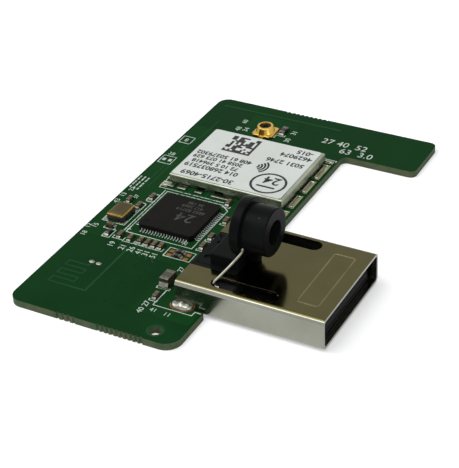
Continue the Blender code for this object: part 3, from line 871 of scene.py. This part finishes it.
def makeBracket():
    # plate in the cut-out, pedestal, flange, stepped barrel and the rib under it
    low, high = boxOf("eyelet_bracket")
    eyeZ, eyeR, flangeR, bore = 8.91, 2.955, 3.557, 1.523
    root, front = 6.315, high[0]
    centre = (plugY, eyeZ)
    bracket = block((low[0], low[1], low[2]), (5.95, high[1], shellTop - 0.02), 0.06)
    combine(bracket, block((2.1, plugY - 2.85, shellTop - 0.4),
                           (5.85, plugY + 2.85, shellTop + 1.62), 0.22, 4), "UNION")
    combine(bracket, drum(flangeR, root - 1.22, root, centre, "X", 96, 0.16, 4), "UNION")
    barrel = drum(eyeR, root - 0.3, front, centre, "X", 96, 0.2, 5)
    combine(bracket, barrel, "UNION")
    combine(bracket, block((root - 0.4, plugY - 0.5, shellTop + 0.05),
                           (root + 0.95, plugY + 0.5, eyeZ - eyeR + 0.4), 0.1), "UNION")
    combine(bracket, drum(bore, root - 3, front + 1, centre, "X", 96), "DIFFERENCE")
    for x, y, radius in ((1.1, plugY + 1.6, 0.42), (1.1, plugY - 1.6, 0.42)):
        combine(bracket, drum(radius, shellTop - 0.2, shellTop + 1, (x, y), "Z", 32), "DIFFERENCE")
    combine(bracket, block((0.35, plugY - 3.05, shellTop - 0.12), (5.6, plugY - 2.95, shellTop + 1)),
            "DIFFERENCE")
    combine(bracket, block((0.35, plugY + 2.95, shellTop - 0.12), (5.6, plugY + 3.05, shellTop + 1)),
            "DIFFERENCE")
    bevelEdges(bracket, 0.07, 2, 50)
    makePiece(paint(bracket, mats["bracketPlastic"]), "eyeletBracket",
              ["eyelet_bracket"], smooth=32)


def makeWire():
    # drawn wire with a bulb where its end is turned into the flange
    route = [(4.95, -18.05, 3.74), (4.45, -18.15, 3.76), (4.3, -18.2, 4.35), (4.75, -17.75, 4.85),
             (5.7, -16.4, 6.0), (6.35, -15.4, 6.9), (6.56, -15.05, 7.3), (6.56, -14.95, 7.55)]
    curve = bpy.data.curves.new("wire", "CURVE")
    curve.dimensions = "3D"
    curve.bevel_depth = 0.165 * mm
    curve.bevel_resolution = 6
    curve.use_fill_caps = True
    spline = curve.splines.new("NURBS")
    spline.points.add(len(route) - 1)
    for slot, point in zip(spline.points, route):
        slot.co = (*[c * mm for c in point], 1)
    spline.order_u = 3
    spline.use_endpoint_u = True
    spline.resolution_u = 10
    obj = bpy.data.objects.new("wire", curve)
    bpy.context.collection.objects.link(obj)
    pick(obj)
    bpy.ops.object.convert(target="MESH")
    wire = bpy.context.object
    deselectAll()
    bpy.ops.mesh.primitive_uv_sphere_add(segments=24, ring_count=12, radius=0.23 * mm,
                                         location=(6.56 * mm, -14.96 * mm, 7.53 * mm))
    bulb = bpy.context.object
    bulb.scale = (0.9, 1, 1.25)
    settle(bulb)
    wire = joinAll([wire, bulb])
    makePiece(paint(wire, mats["springSteel"]), "wireStay", ["wire_stay"], smooth=60)


makeShell()
makePanelMark()
makeTongue()
makeContacts()
makeLegSolder()
makeBracket()
makeWire()
print("plug made")


# ---- the shield can and its label ----

can = dict(sheet=0.17, bend=0.2, dimplePitch=0.9, dimple=0.16)
labelLook = dict(
    corner=0.45, short=0.22, bold=0.035, cell=0.345, cellsAt=(-10.75, 11.25), ring=(-1.05, 6.2, 2.3),
    # start x, baseline y, figures, size
    rows=((-5.3, 4.85, "30-2715-4069", 1.36), (-5.6, 6.75, "014 268037519", 1.26),
          (-6.2, 7.85, "72 10 5 396418", 1.08), (-6.1, 9.0, "2058 41 073 629", 1.08),
          (-5.3, 10.1, "408 61 50279302", 1.16), (1.35, 12.1, "5031 2746", 1.28),
          (1.6, 14.0, "4629074", 1.3), (1.2, 15.35, "-015", 1.3), (0.35, 7.7, "24", 2.4)))


def makeLid():
    # thin cover folded over the wall, with a row of pressed dimples round its skirt
    low, high = boxOf("shield_lid")
    deselectAll()
    bpy.ops.mesh.primitive_cube_add(size=1, location=[(a + b) / 2 * mm for a, b in zip(low, high)])
    lid = bpy.context.object
    lid.scale = [(b - a) * mm for a, b in zip(low, high)]
    settle(lid)
    bpy.ops.object.mode_set(mode="EDIT")
    bm = bmesh.from_edit_mesh(lid.data)
    for face in bm.faces:
        face.select_set(face.normal.z < -0.9)
    bmesh.update_edit_mesh(lid.data)
    bpy.ops.mesh.delete(type="ONLY_FACE")
    bpy.ops.object.mode_set(mode="OBJECT")
    mod = lid.modifiers.new("fold", "BEVEL")
    mod.width = can["bend"] * mm
    mod.segments = 5
    mod.limit_method = "ANGLE"
    wall = lid.modifiers.new("wall", "SOLIDIFY")
    wall.thickness = can["sheet"] * mm
    wall.offset = -1
    applyModifiers(lid)
    for x in (-11.2, -8.2, -5.2, -2.2, 0.4):
        combine(lid, block((x - 0.06, low[1] - 1, 0.5), (x + 0.06, high[1] + 1, 2.05)), "DIFFERENCE")
    for y in (5.3, 8.4, 11.5, 14.2):
        combine(lid, block((low[0] - 1, y - 0.06, 0.5), (high[0] + 1, y + 0.06, 2.05)), "DIFFERENCE")
    makePiece(paint(lid, mats["shieldTin"]), "shieldLid", ["shield_lid"])
    deselectAll()
    bpy.ops.mesh.primitive_uv_sphere_add(segments=14, ring_count=8, radius=can["dimple"] * mm)
    one = bpy.context.object
    one.scale = (1, 0.18, 1)
    settle(one)
    dimples = []
    for k in range(int((high[0] - low[0] - 1) / can["dimplePitch"])):
        x = low[0] + 0.9 + k * can["dimplePitch"]
        dimples += [copyTo(one, (x, y, 1.86)) for y in (low[1] + 0.015, high[1] - 0.015)]
    for k in range(int((high[1] - low[1] - 1) / can["dimplePitch"])):
        y = low[1] + 0.9 + k * can["dimplePitch"]
        dimples += [copyTo(one, (x, y, 1.86), math.pi / 2)
                    for x in (low[0] + 0.015, high[0] - 0.015)]
    bpy.data.objects.remove(one, do_unlink=True)
    makePiece(paint(joinAll(dimples), mats["shieldTin"]), "lidDimples", smooth=60)


def makeFrameFeet():
    # soldered feet with bright fillets, and long tinned pads beside them
    paint(bpy.data.objects["shield_frame"], mats["shieldTin"])
    low, high = boxOf("shield_lid")
    feet, pads = [], []
    nearFeet = [(-13.6, 0.9), (-12.0, 1.3), (-9.5, 1.1), (-6.2, 2.8), (-2.6, 1.8), (0.6, 1.6)]
    for x, length in nearFeet:
        for y, out in ((low[1], -1), (high[1], 1)):
            a, b = sorted((y + out * 0.8, y - out * 0.1))
            feet.append(block((x - length / 2, a, deck + 0.01), (x + length / 2, b, deck + 0.2),
                              0.09, 4))
    for y, length in ((2.9, 1.3), (5.85, 3.2), (9.75, 3.2), (13.85, 3.9), (16.6, 0.7)):
        for x, out in ((high[0], 1), (low[0], -1)):
            a, b = sorted((x + out * 0.34, x - out * 0.3))
            feet.append(block((a, y - length / 2 + 0.2, deck + 0.01),
                              (b, y + length / 2 - 0.2, deck + 0.2), 0.09, 4))
            for end in (-1, 1):
                bead = drum(0.17, -0.42, 0.42, (y, deck + 0.02), "X", 20, 0.1)
                bead.location = ((x + out * 0.4) * mm, end * (length / 2 - 0.28) * mm, 0)
                feet.append(settle(bead))
            a, b = sorted((x + out * 0.95, x - out * 0.1))
            pads.append(block((a, y - length / 2, deck - 0.03), (b, y + length / 2, deck + 0.035),
                              0.015, 2))
    makePiece(paint(joinAll(feet), mats["solder"]), "shieldSolder", smooth=60)
    makePiece(paint(joinAll(pads), mats["paleSolder"]), "shieldPads")


def makeLabel():
    low, high = boxOf("shield_label")
    r = labelLook["corner"]
    end = high[0] - labelLook["short"]
    corners = [(low[0], low[1], r), (end, low[1], r), (end, high[1], r), (low[0], high[1], r)]
    film = sheetOf([roundedOutline(corners)], low[2], high[2] - 0.015)
    bevelEdges(film, 0.02, 2)
    makePiece(paint(film, mats["labelFilm"]), "labelFilm", ["shield_label"])


def makeLabelPrint():
    # generic print: rows of plain figures read from the far side, a square of random cells,
    # and a plain ring round a figure
    z = boxOf("shield_label")[1][2] - 0.012
    prints = [figures(text, x, y, z, size, 180, 0.008, labelLook["bold"])
              for x, y, text, size in labelLook["rows"]]
    cell = labelLook["cell"]
    startX, startY = labelLook["cellsAt"]
    for i in range(12):
        for j in range(12):
            if i == 11 or j == 0 or random.random() < 0.5:
                x, y = startX + i * cell, startY + j * cell
                prints.append(block((x, y, z - 0.008), (x + cell, y + cell, z + 0.008)))
    x, y, radius = labelLook["ring"]
    prints.append(strokes([[tuple(p) for p in ring(x, y, radius, 64)]], 0.34, z, 0.045, closed=True))
    prints.append(strokes([[(x - 1.3, y - 0.9), (x + 1.3, y - 0.9)]], 0.34, z, 0.045))
    for k in range(4):
        prints.append(strokes([arc(-4.6, 9.5, 0.45 + 0.42 * k, -50, 50, 12)], 0.28, z, 0.05))
    makePiece(paint(joinAll(prints), mats["labelInk"]), "labelPrint", smooth=0)


makeLid()
makeFrameFeet()
makeLabel()
makeLabelPrint()
print("shield made")


# ---- the controller chip, crystal and test connector ----

controller = dict(corner=0.42, pitch=0.4, leadsPerSide=17, leadWidth=0.16, leadLength=0.7,
                  leadHeight=0.08)


def makeController():
    # moulded body with cut corners, a pin one dimple and plain figures on its top
    low, high = boxOf("radio_controller")
    cx, cy = (low[0] + high[0]) / 2, (low[1] + high[1]) / 2
    c = controller["corner"]
    outline = [(low[0] + c, low[1]), (high[0] - c, low[1]), (high[0], low[1] + c),
               (high[0], high[1] - c), (high[0] - c, high[1]), (low[0] + c, high[1]),
               (low[0], high[1] - c), (low[0], low[1] + c)]
    body = bevelEdges(sheetOf([outline], low[2], high[2]), 0.09, 3, 50)
    combine(body, drum(0.35, high[2] - 0.05, high[2] + 1, (low[0] + 0.9, low[1] + 0.9)),
            "DIFFERENCE")
    makePiece(paint(body, mats["chipEpoxy"]), "controllerBody",
              ["radio_controller"])
    deselectAll()
    half = (high[0] - low[0]) / 2
    lead = block((half - 0.12, -controller["leadWidth"] / 2, deck + 0.015),
                 (half + controller["leadLength"] - 0.12, controller["leadWidth"] / 2,
                  deck + 0.015 + controller["leadHeight"]), 0.03, 2)
    shoulder = block((half - 0.1, -controller["leadWidth"] / 2, deck + 0.02),
                     (half + 0.12, controller["leadWidth"] / 2, deck + 0.26), 0.04, 2)
    one = joinAll([lead, shoulder])
    leads = []
    for side in range(4):
        turn = side * math.pi / 2
        for k in range(controller["leadsPerSide"]):
            shift = (k - (controller["leadsPerSide"] - 1) / 2) * controller["pitch"]
            along = Vector((-math.sin(turn), math.cos(turn))) * shift
            leads.append(copyTo(one, (cx + along.x, cy + along.y, 0), turn))
    bpy.data.objects.remove(one, do_unlink=True)
    makePiece(paint(joinAll(leads), mats["leadTin"]), "controllerLeads")
    marks = [figures(text, cx + x, cy + y, high[2] - 0.004, size, 180, 0.005, 0.02)
             for text, x, y, size in (("24", 2.3, 0.4, 2.6), ("6052 83719", 2.9, 1.5, 0.85),
                                      ("417 2069", 2.2, 2.35, 0.8), ("36 180", 1.9, 3.15, 0.8))]
    makePiece(paint(joinAll(marks), mats["chipMark"]), "controllerMark", smooth=0)


def makeCrystal():
    # ceramic tub, gold seal ring and a bronze lid, with four bright pads
    low, high = boxOf("crystal_base")
    body = block(low, high, 0.08, 2)
    for x in (low[0], high[0]):
        for y in (low[1], high[1]):
            combine(body, drum(0.2, 0, 3, (x, y), "Z", 24), "DIFFERENCE")
    makePiece(paint(body, mats["blackCeramic"]), "crystalTub", ["crystal_base"])
    lidLow, lidHigh = boxOf("crystal_lid")
    seal = block((lidLow[0] - 0.05, lidLow[1] - 0.05, high[2] - 0.02),
                 (lidHigh[0] + 0.05, lidHigh[1] + 0.05, lidLow[2] + 0.08), 0.03, 2)
    makePiece(paint(seal, mats["goldPlate"]), "crystalSeal")
    lid = block(lidLow, lidHigh, 0.05, 2)
    pick(lid)
    bpy.ops.object.mode_set(mode="EDIT")
    bm = bmesh.from_edit_mesh(lid.data)
    for face in bm.faces:
        face.select_set(face.normal.z > 0.9 and face.calc_area() > 1e-6)
    bmesh.update_edit_mesh(lid.data)
    bpy.ops.mesh.inset(thickness=0.16 * mm, depth=0)
    bpy.ops.mesh.inset(thickness=0.05 * mm, depth=0.03 * mm)
    bpy.ops.object.mode_set(mode="OBJECT")
    lid.data.materials.append(mats["goldPlate"])
    lid.data.materials.append(mats["bronzeLid"])
    cx, cy = (lidLow[0] + lidHigh[0]) / 2, (lidLow[1] + lidHigh[1]) / 2
    for face in lid.data.polygons:
        flat = face.normal.z > 0.5
        insideX = abs(face.center.x / mm - cx) < (lidHigh[0] - lidLow[0]) / 2 - 0.1
        insideY = abs(face.center.y / mm - cy) < (lidHigh[1] - lidLow[1]) / 2 - 0.1
        face.material_index = 1 if flat and insideX and insideY else 0
    makePiece(lid, "crystalLid", ["crystal_lid"])
    pads = []
    for x, sx in ((low[0], -1), (high[0], 1)):
        for y, sy in ((low[1], -1), (high[1], 1)):
            a, b = sorted((x - sx * 0.5, x + sx * 0.28))
            c, d = sorted((y - sy * 0.6, y + sy * 0.3))
            pads.append(block((a, c, deck), (b, d, deck + 0.08), 0.04, 3))
    makePiece(paint(joinAll(pads), mats["solder"]), "crystalPads", smooth=60)


def makeCoax():
    # square gold base with notched corners, a flared barrel and a dark socket with its pin
    low, high = boxOf("coax_shell")
    cx, cy = (low[0] + high[0]) / 2, (low[1] + high[1]) / 2
    base = block((low[0], low[1], low[2]), (high[0], high[1], 1.36), 0.12, 3)
    for x in (low[0], high[0]):
        for y in (low[1], high[1]):
            combine(base, drum(0.26, 0, 3, (x, y), "Z", 32), "DIFFERENCE")
    deselectAll()
    bpy.ops.mesh.primitive_cone_add(vertices=64, radius1=1.36 * mm, radius2=1.1 * mm,
                                    depth=0.95 * mm, location=(cx * mm, cy * mm, 1.725 * mm))
    barrel = bevelEdges(settle(bpy.context.object), 0.09, 3)
    combine(base, barrel, "UNION")
    combine(base, drum(0.8, 1.2, 3, (cx, cy), "Z", 48), "DIFFERENCE")
    combine(base, block((cx - 0.35, low[1] - 1, 1.15), (cx + 0.35, low[1] + 0.35, 3)), "DIFFERENCE")
    bevelEdges(base, 0.03, 2, 50)
    makePiece(paint(base, mats["goldPlate"]), "coaxShell", ["coax_shell"])
    core = drum(0.76, 1.26, 2.02, (cx, cy), "Z", 48, 0.06)
    combine(core, drum(0.34, 1.4, 3, (cx, cy), "Z", 32), "DIFFERENCE")
    makePiece(paint(core, mats["plugPlastic"]), "coaxCore", ["coax_core"])
    pin = drum(0.2, 1.45, 1.85, (cx, cy), "Z", 24, 0.06)
    makePiece(paint(pin, mats["goldPlate"]), "coaxPin", ["coax_pin"])
    feet = [block((cx - 1.75, cy - 0.9, deck), (cx - 1.4, cy + 0.9, deck + 0.12), 0.05, 3),
            block((cx + 1.4, cy - 0.9, deck), (cx + 1.75, cy + 0.9, deck + 0.12), 0.05, 3),
            block((cx - 0.4, cy - 1.95, deck), (cx + 0.4, cy - 1.4, deck + 0.1), 0.05, 3)]
    makePiece(paint(joinAll(feet), mats["solder"]), "coaxSolder", smooth=60)


# ---- chip capacitors and resistors ----

smallPart = dict(endShare=0.27, proud=0.015, fillet=0.22)


def makeSmallPart(node):
    # ceramic middle, two tinned ends and solder drawn up each end
    low, high = boxOf(node)
    size = [b - a for a, b in zip(low, high)]
    along = 0 if size[0] > size[1] else 1
    across = 1 - along
    length = size[along]
    tall = high[2] - low[2]
    endLength = length * smallPart["endShare"]
    proud = smallPart["proud"]
    isCapacitor = node.startswith("capacitor")
    bodyLow, bodyHigh = list(low), list(high)
    bodyLow[along] += endLength * 0.8
    bodyHigh[along] -= endLength * 0.8
    bodyLow[across] += proud
    bodyHigh[across] -= proud
    bodyHigh[2] -= proud
    body = block(bodyLow, bodyHigh, 0.03, 2)
    bodyMat = "supplyCeramic" if node == "capacitor_supply" else (
        "capacitorCeramic" if isCapacitor else "resistorGlaze")
    paint(body, mats[bodyMat])
    bits = [body]
    for end in (-1, 1):
        a, b = list(low), list(high)
        if end < 0:
            b[along] = low[along] + endLength
        else:
            a[along] = high[along] - endLength
        bits.append(paint(block(a, b, 0.05 if tall < 1 else 0.09, 3), mats["endTin"]))
        # solder wedge: a small block whose outer top edge is pulled down
        f = smallPart["fillet"] * (1 if tall < 1 else 1.8)
        a, b = list(low), list(high)
        a[2], b[2] = deck + 0.005, deck + tall * 0.62
        if end < 0:
            a[along], b[along] = low[along] - f, low[along] + 0.03
        else:
            a[along], b[along] = high[along] - 0.03, high[along] + f
        wedge = block(a, b)
        outer = (low[along] - f if end < 0 else high[along] + f) * mm
        for vertex in wedge.data.vertices:
            if abs(vertex.co[along] - outer) < 1e-6 and vertex.co.z > (deck + 0.03) * mm:
                vertex.co.z = (deck + 0.05) * mm
        bits.append(paint(bevelEdges(wedge, 0.04, 3), mats["smallSolder" if tall < 1 else "solder"]))
    obj = joinAll(bits)
    name = "".join(w.capitalize() if i else w for i, w in enumerate(node.split("_")))
    return makePiece(obj, name, [node], smooth=50)


def makeDataPads():
    # wide bare copper pads outside the two data resistors
    pads = []
    for node in ("resistor_data_1", "resistor_data_2"):
        low, high = boxOf(node)
        y = (low[1] + high[1]) / 2
        for x, out in ((low[0], -1), (high[0], 1)):
            a, b = sorted((x + out * 0.3, x + out * 0.95))
            pads.append(block((a, y - 0.27, deck - 0.03), (b, y + 0.27, deck + 0.025), 0.06, 3))
    makePiece(paint(joinAll(pads), mats["bareCopper"]), "dataPads", smooth=60)


def makeLeftPads():
    # two bare pads in the second box at the left edge
    pads = [block((x - 0.24, y - 0.3, deck - 0.02), (x + 0.24, y + 0.3, deck + 0.02), 0.015, 2)
            for x, y in ((-18.0, 8.35), (-17.1, 8.35))]
    makePiece(paint(joinAll(pads), mats["leadTin"]), "leftPads")


def makeInnerParts():
    # packages under the shield keep their solids and take the epoxy finish
    for node in ("radio_transceiver", "power_amplifier_1", "power_amplifier_2", "antenna_switch",
                 "band_filter", "balance_filter", "settings_memory"):
        paint(bpy.data.objects[node], mats["chipEpoxy"])


makeController()
makeCrystal()
makeCoax()
for node in sorted(frame["nodes"]):
    if node.startswith(("capacitor_", "resistor_")):
        makeSmallPart(node)
makeDataPads()
makeLeftPads()
makeInnerParts()
print("parts on the board made")


# ---- printed outlines and figures on the board ----

ink = dict(width=0.15, rise=0.14)


def rectangle(x0, y0, x1, y1):
    return [(x0, y0), (x1, y0), (x1, y1), (x0, y1), (x0, y0)]


def makeOutlines():
    low, high = boxOf("radio_controller")
    x0, y0, x1, y1 = low[0] - 0.95, low[1] - 1.15, high[0] + 0.6, high[1] + 1.3
    routes = [[(x0, y0), (x1, y0), (x1, y1 - 1.0), (x1 - 1.3, y1), (x0, y1), (x0, y0)],
              [(x0 - 0.38, y0 + 0.1), (x0 - 0.38, y1 + 0.2)]]
    cLow, cHigh = boxOf("crystal_base")
    g = 0.38
    routes += [[(cLow[0] - g, cLow[1] + 1.2), (cLow[0] - g, cLow[1] - g),
                (cHigh[0] + g, cLow[1] - g), (cHigh[0] + g, cHigh[1] + g),
                (cLow[0] - g, cHigh[1] + g), (cLow[0] - g, cHigh[1] - 0.9)]]
    lLow, lHigh = boxOf("shield_lid")
    g = 0.8
    routes += [[(lLow[0] - g, lLow[1] + 2.2), (lLow[0] - g, lLow[1] - 1.3), (-5.3, lLow[1] - 1.3)],
               [(lHigh[0] - 1.2, lHigh[1] + 1.0), (lHigh[0] + 1.15, lHigh[1] + 1.0),
                (lHigh[0] + 1.15, lHigh[1] + 0.6)],
               [(lLow[0] - g, lHigh[1] - 1.2), (lLow[0] - g, lHigh[1] + g), (lLow[0] + 1.4, lHigh[1] + g)]]
    # plug outline, stepped at the leg, on both sides
    for side in (-1, 1):
        wall = plugY + side * plugHalf
        out = [(-2.35, wall - side * 2.3), (-2.4, wall + side * 1.25), (2.75, wall + side * 1.25),
               (2.8, wall + side * 0.5), (3.6, wall + side * 0.5)]
        if side < 0:
            routes.append(out)
        else:
            routes.append(out[1:])
    routes += [rectangle(-6.5, -11.65, -2.85, -9.75)]
    for name in ("capacitor_chip_left_1", "capacitor_chip_left_2"):
        a, b = boxOf(name)
        routes.append([tuple(p) for p in roundedOutline(
            [(a[0] - 0.3, a[1] - 0.4, 0.3), (b[0] + 0.3, a[1] - 0.4, 0.3),
             (b[0] + 0.3, b[1] + 0.4, 0.3), (a[0] - 0.3, b[1] + 0.4, 0.3)], 4)])
        routes[-1].append(routes[-1][0])
    for k in range(1, 7):
        # open brackets below the row of capacitors
        a, b = boxOf("capacitor_row_%d" % k)
        x, y = (a[0] + b[0]) / 2, a[1] - 0.02
        g = 0.78 if k < 3 else 0.46
        routes.append([(x - g, y + 0.4), (x - g, y - 0.22), (x + g, y - 0.22), (x + g, y + 0.4)])
    for name in ("capacitor_plug", "resistor_crystal",
                 "capacitor_crystal_near", "capacitor_crystal_far", "capacitor_chip_right_1",
                 "capacitor_chip_right_2", "capacitor_chip_right_3", "capacitor_supply",
                 "resistor_antenna", "capacitor_chip_corner"):
        # a corner bracket at each end of the part
        a, b = boxOf(name)
        g = 0.24
        x0, y0, x1, y1 = a[0] - g, a[1] - g - 0.12, b[0] + g, b[1] + g + 0.12
        routes += [[(x0, y0 + 0.35), (x0, y0), (x1, y0), (x1, y0 + 0.35)]]
        if name == "resistor_crystal":
            routes += [rectangle(x0, y0, x1, y1)]
    routes += [rectangle(-18.55, 13.2, -16.85, 14.95), rectangle(-18.5, 7.4, -16.6, 9.3)]
    lines = strokes(routes, ink["width"], deck + 0.004, ink["rise"])
    makePiece(paint(lines, mats["printInk"]), "printedOutlines", smooth=60)


def makeFigures():
    # plain part numbers beside the parts, and blank bars where longer print would be
    z = deck + 0.004
    row = [(text, x + 0.38, -12.75, 1.15, 90) for text, x in
           (("19", -13.6), ("21", -12.0), ("26", -10.75), ("41", -9.6), ("31", -8.6), ("51", -7.5))]
    spots = row + [
        ("15", -17.4, -9.9, 1.0, 90), ("12", -18.2, -10.3, 1.0, 90), ("18", -17.8, -12.0, 1.0, 90),
        ("40 27", -2.9, -22.95, 1.05, 90), ("41", -2.3, -22.1, 0.95, 0), ("11", -0.4, -22.2, 0.95, 0),
        ("16", -1.7, -13.6, 1.0, 90), ("27", -2.6, -13.9, 1.0, 90),
        ("52", -1.7, -11.4, 1.0, 90), ("31", -1.7, -9.0, 1.0, 90), ("8", -18.0, 13.65, 1.1, 0),
        ("38", -18.25, 9.65, 1.0, 0), ("48", -12.3, 19.2, 1.1, 90), ("34", -11.2, 19.4, 1.1, 90),
        ("60", -12.4, 21.4, 1.0, 90), ("30", -4.6, 19.0, 1.1, 90), ("31", -4.6, 21.2, 1.1, 90),
        ("57", -16.2, -1.9, 0.9, 90), ("43", -18.0, -3.8, 1.0, 90), ("13", -18.0, -2.2, 1.0, 90),
        ("22", -17.7, -0.5, 0.9, 90), ("9", -13.0, -8.6, 0.8, 90), ("28", -5.0, -8.7, 0.8, 90),
        ("5", -3.1, 1.8, 0.9, 0), ("17", -2.0, -6.6, 0.9, 90), ("24", -1.9, -2.6, 0.9, 90),
        ("27 40  52", -0.6, 21.0, 1.75, 0), ("63  3.0", 2.7, 19.4, 1.75, 0)]
    words = [figures(text, x, y, z, size, turn) for text, x, y, size, turn in spots]
    bars = [[(-18.55, 0.3), (-18.5, 3.6)], [(-17.95, 0.2), (-17.9, 3.6)], [(-17.35, 0.1), (-17.3, 3.5)]]
    dashes = []
    for start, end in bars:
        for k in range(5):
            t0, t1 = k / 5, (k + 0.62 + 0.2 * ((k * 7) % 2)) / 5
            dashes.append([(start[0] + (end[0] - start[0]) * t, start[1] + (end[1] - start[1]) * t)
                           for t in (t0, t1)])
    words.append(strokes(dashes, 0.22, z, 0.12))
    makePiece(paint(joinAll(words), mats["printInk"]), "printedFigures", smooth=0)


makeOutlines()
makeFigures()
print("print made")


# ---- underside ----

def makeUnderside():
    # the underside carries test pads, the ends of the plug's legs and a few printed lines;
    # all of it stays within the board's own thickness
    pads = []
    for k in range(8):
        pads.append(drum(0.5, 0.0, 0.02, (-14.5 + 2.1 * k, -23.9), "Z", 32, 0.006, 2))
    for k in range(6):
        pads.append(drum(0.45, 0.0, 0.02, (-16.8, -6.0 + 3.1 * k), "Z", 32, 0.006, 2))
    for k in range(4):
        pads.append(drum(0.45, 0.0, 0.02, (-3.2, 4.0 + 2.6 * k), "Z", 32, 0.006, 2))
    makePiece(paint(joinAll(pads), mats["goldPlate"]), "testPads")
    legs = []
    for side in (-1, 1):
        y = plugY + side * (plugHalf + 0.75)
        deselectAll()
        bpy.ops.mesh.primitive_uv_sphere_add(segments=32, ring_count=16, radius=1,
                                             location=(0.83 * mm, y * mm, 0.03 * mm))
        dome = bpy.context.object
        dome.scale = (1.25 * mm, 0.62 * mm, 0.03 * mm)
        legs.append(settle(dome))
    makePiece(paint(joinAll(legs), mats["solder"]), "legSolderBelow", smooth=60)
    routes = [rectangle(-13.5, 4.0, -5.5, 12.0), rectangle(-12.5, -9.0, -5.0, -1.5),
              [(-17.6, -12.2), (-2.4, -12.2)], [(-17.6, 17.9), (2.9, 17.9)]]
    routes += [rectangle(-15.3, -25.0, 1.0, -22.9)]
    lines = strokes(routes, 0.15, 0.012, 0.12)
    makePiece(paint(lines, mats["printInk"]), "printBelow", smooth=60)
    runs = []
    for k in range(6):
        runs.append([(-16.2, -5.6 + 3.1 * k), (-14.6, -5.6 + 3.1 * k), (-13.9, -4.9 + 3.1 * k)])
    for k in range(7):
        runs.append([(-14.3 + 2.1 * k, -23.2), (-14.3 + 2.1 * k, -19.5 + 0.5 * k),
                     (-13.2 + 2.1 * k, -18.3 + 0.5 * k), (-13.2 + 2.1 * k, -14.0)])
    lines = strokes(runs, 0.2, 0.012, 0.1)
    makePiece(paint(lines, mats["maskOverTrack"]), "tracksBelow")


makeUnderside()
print("underside made")
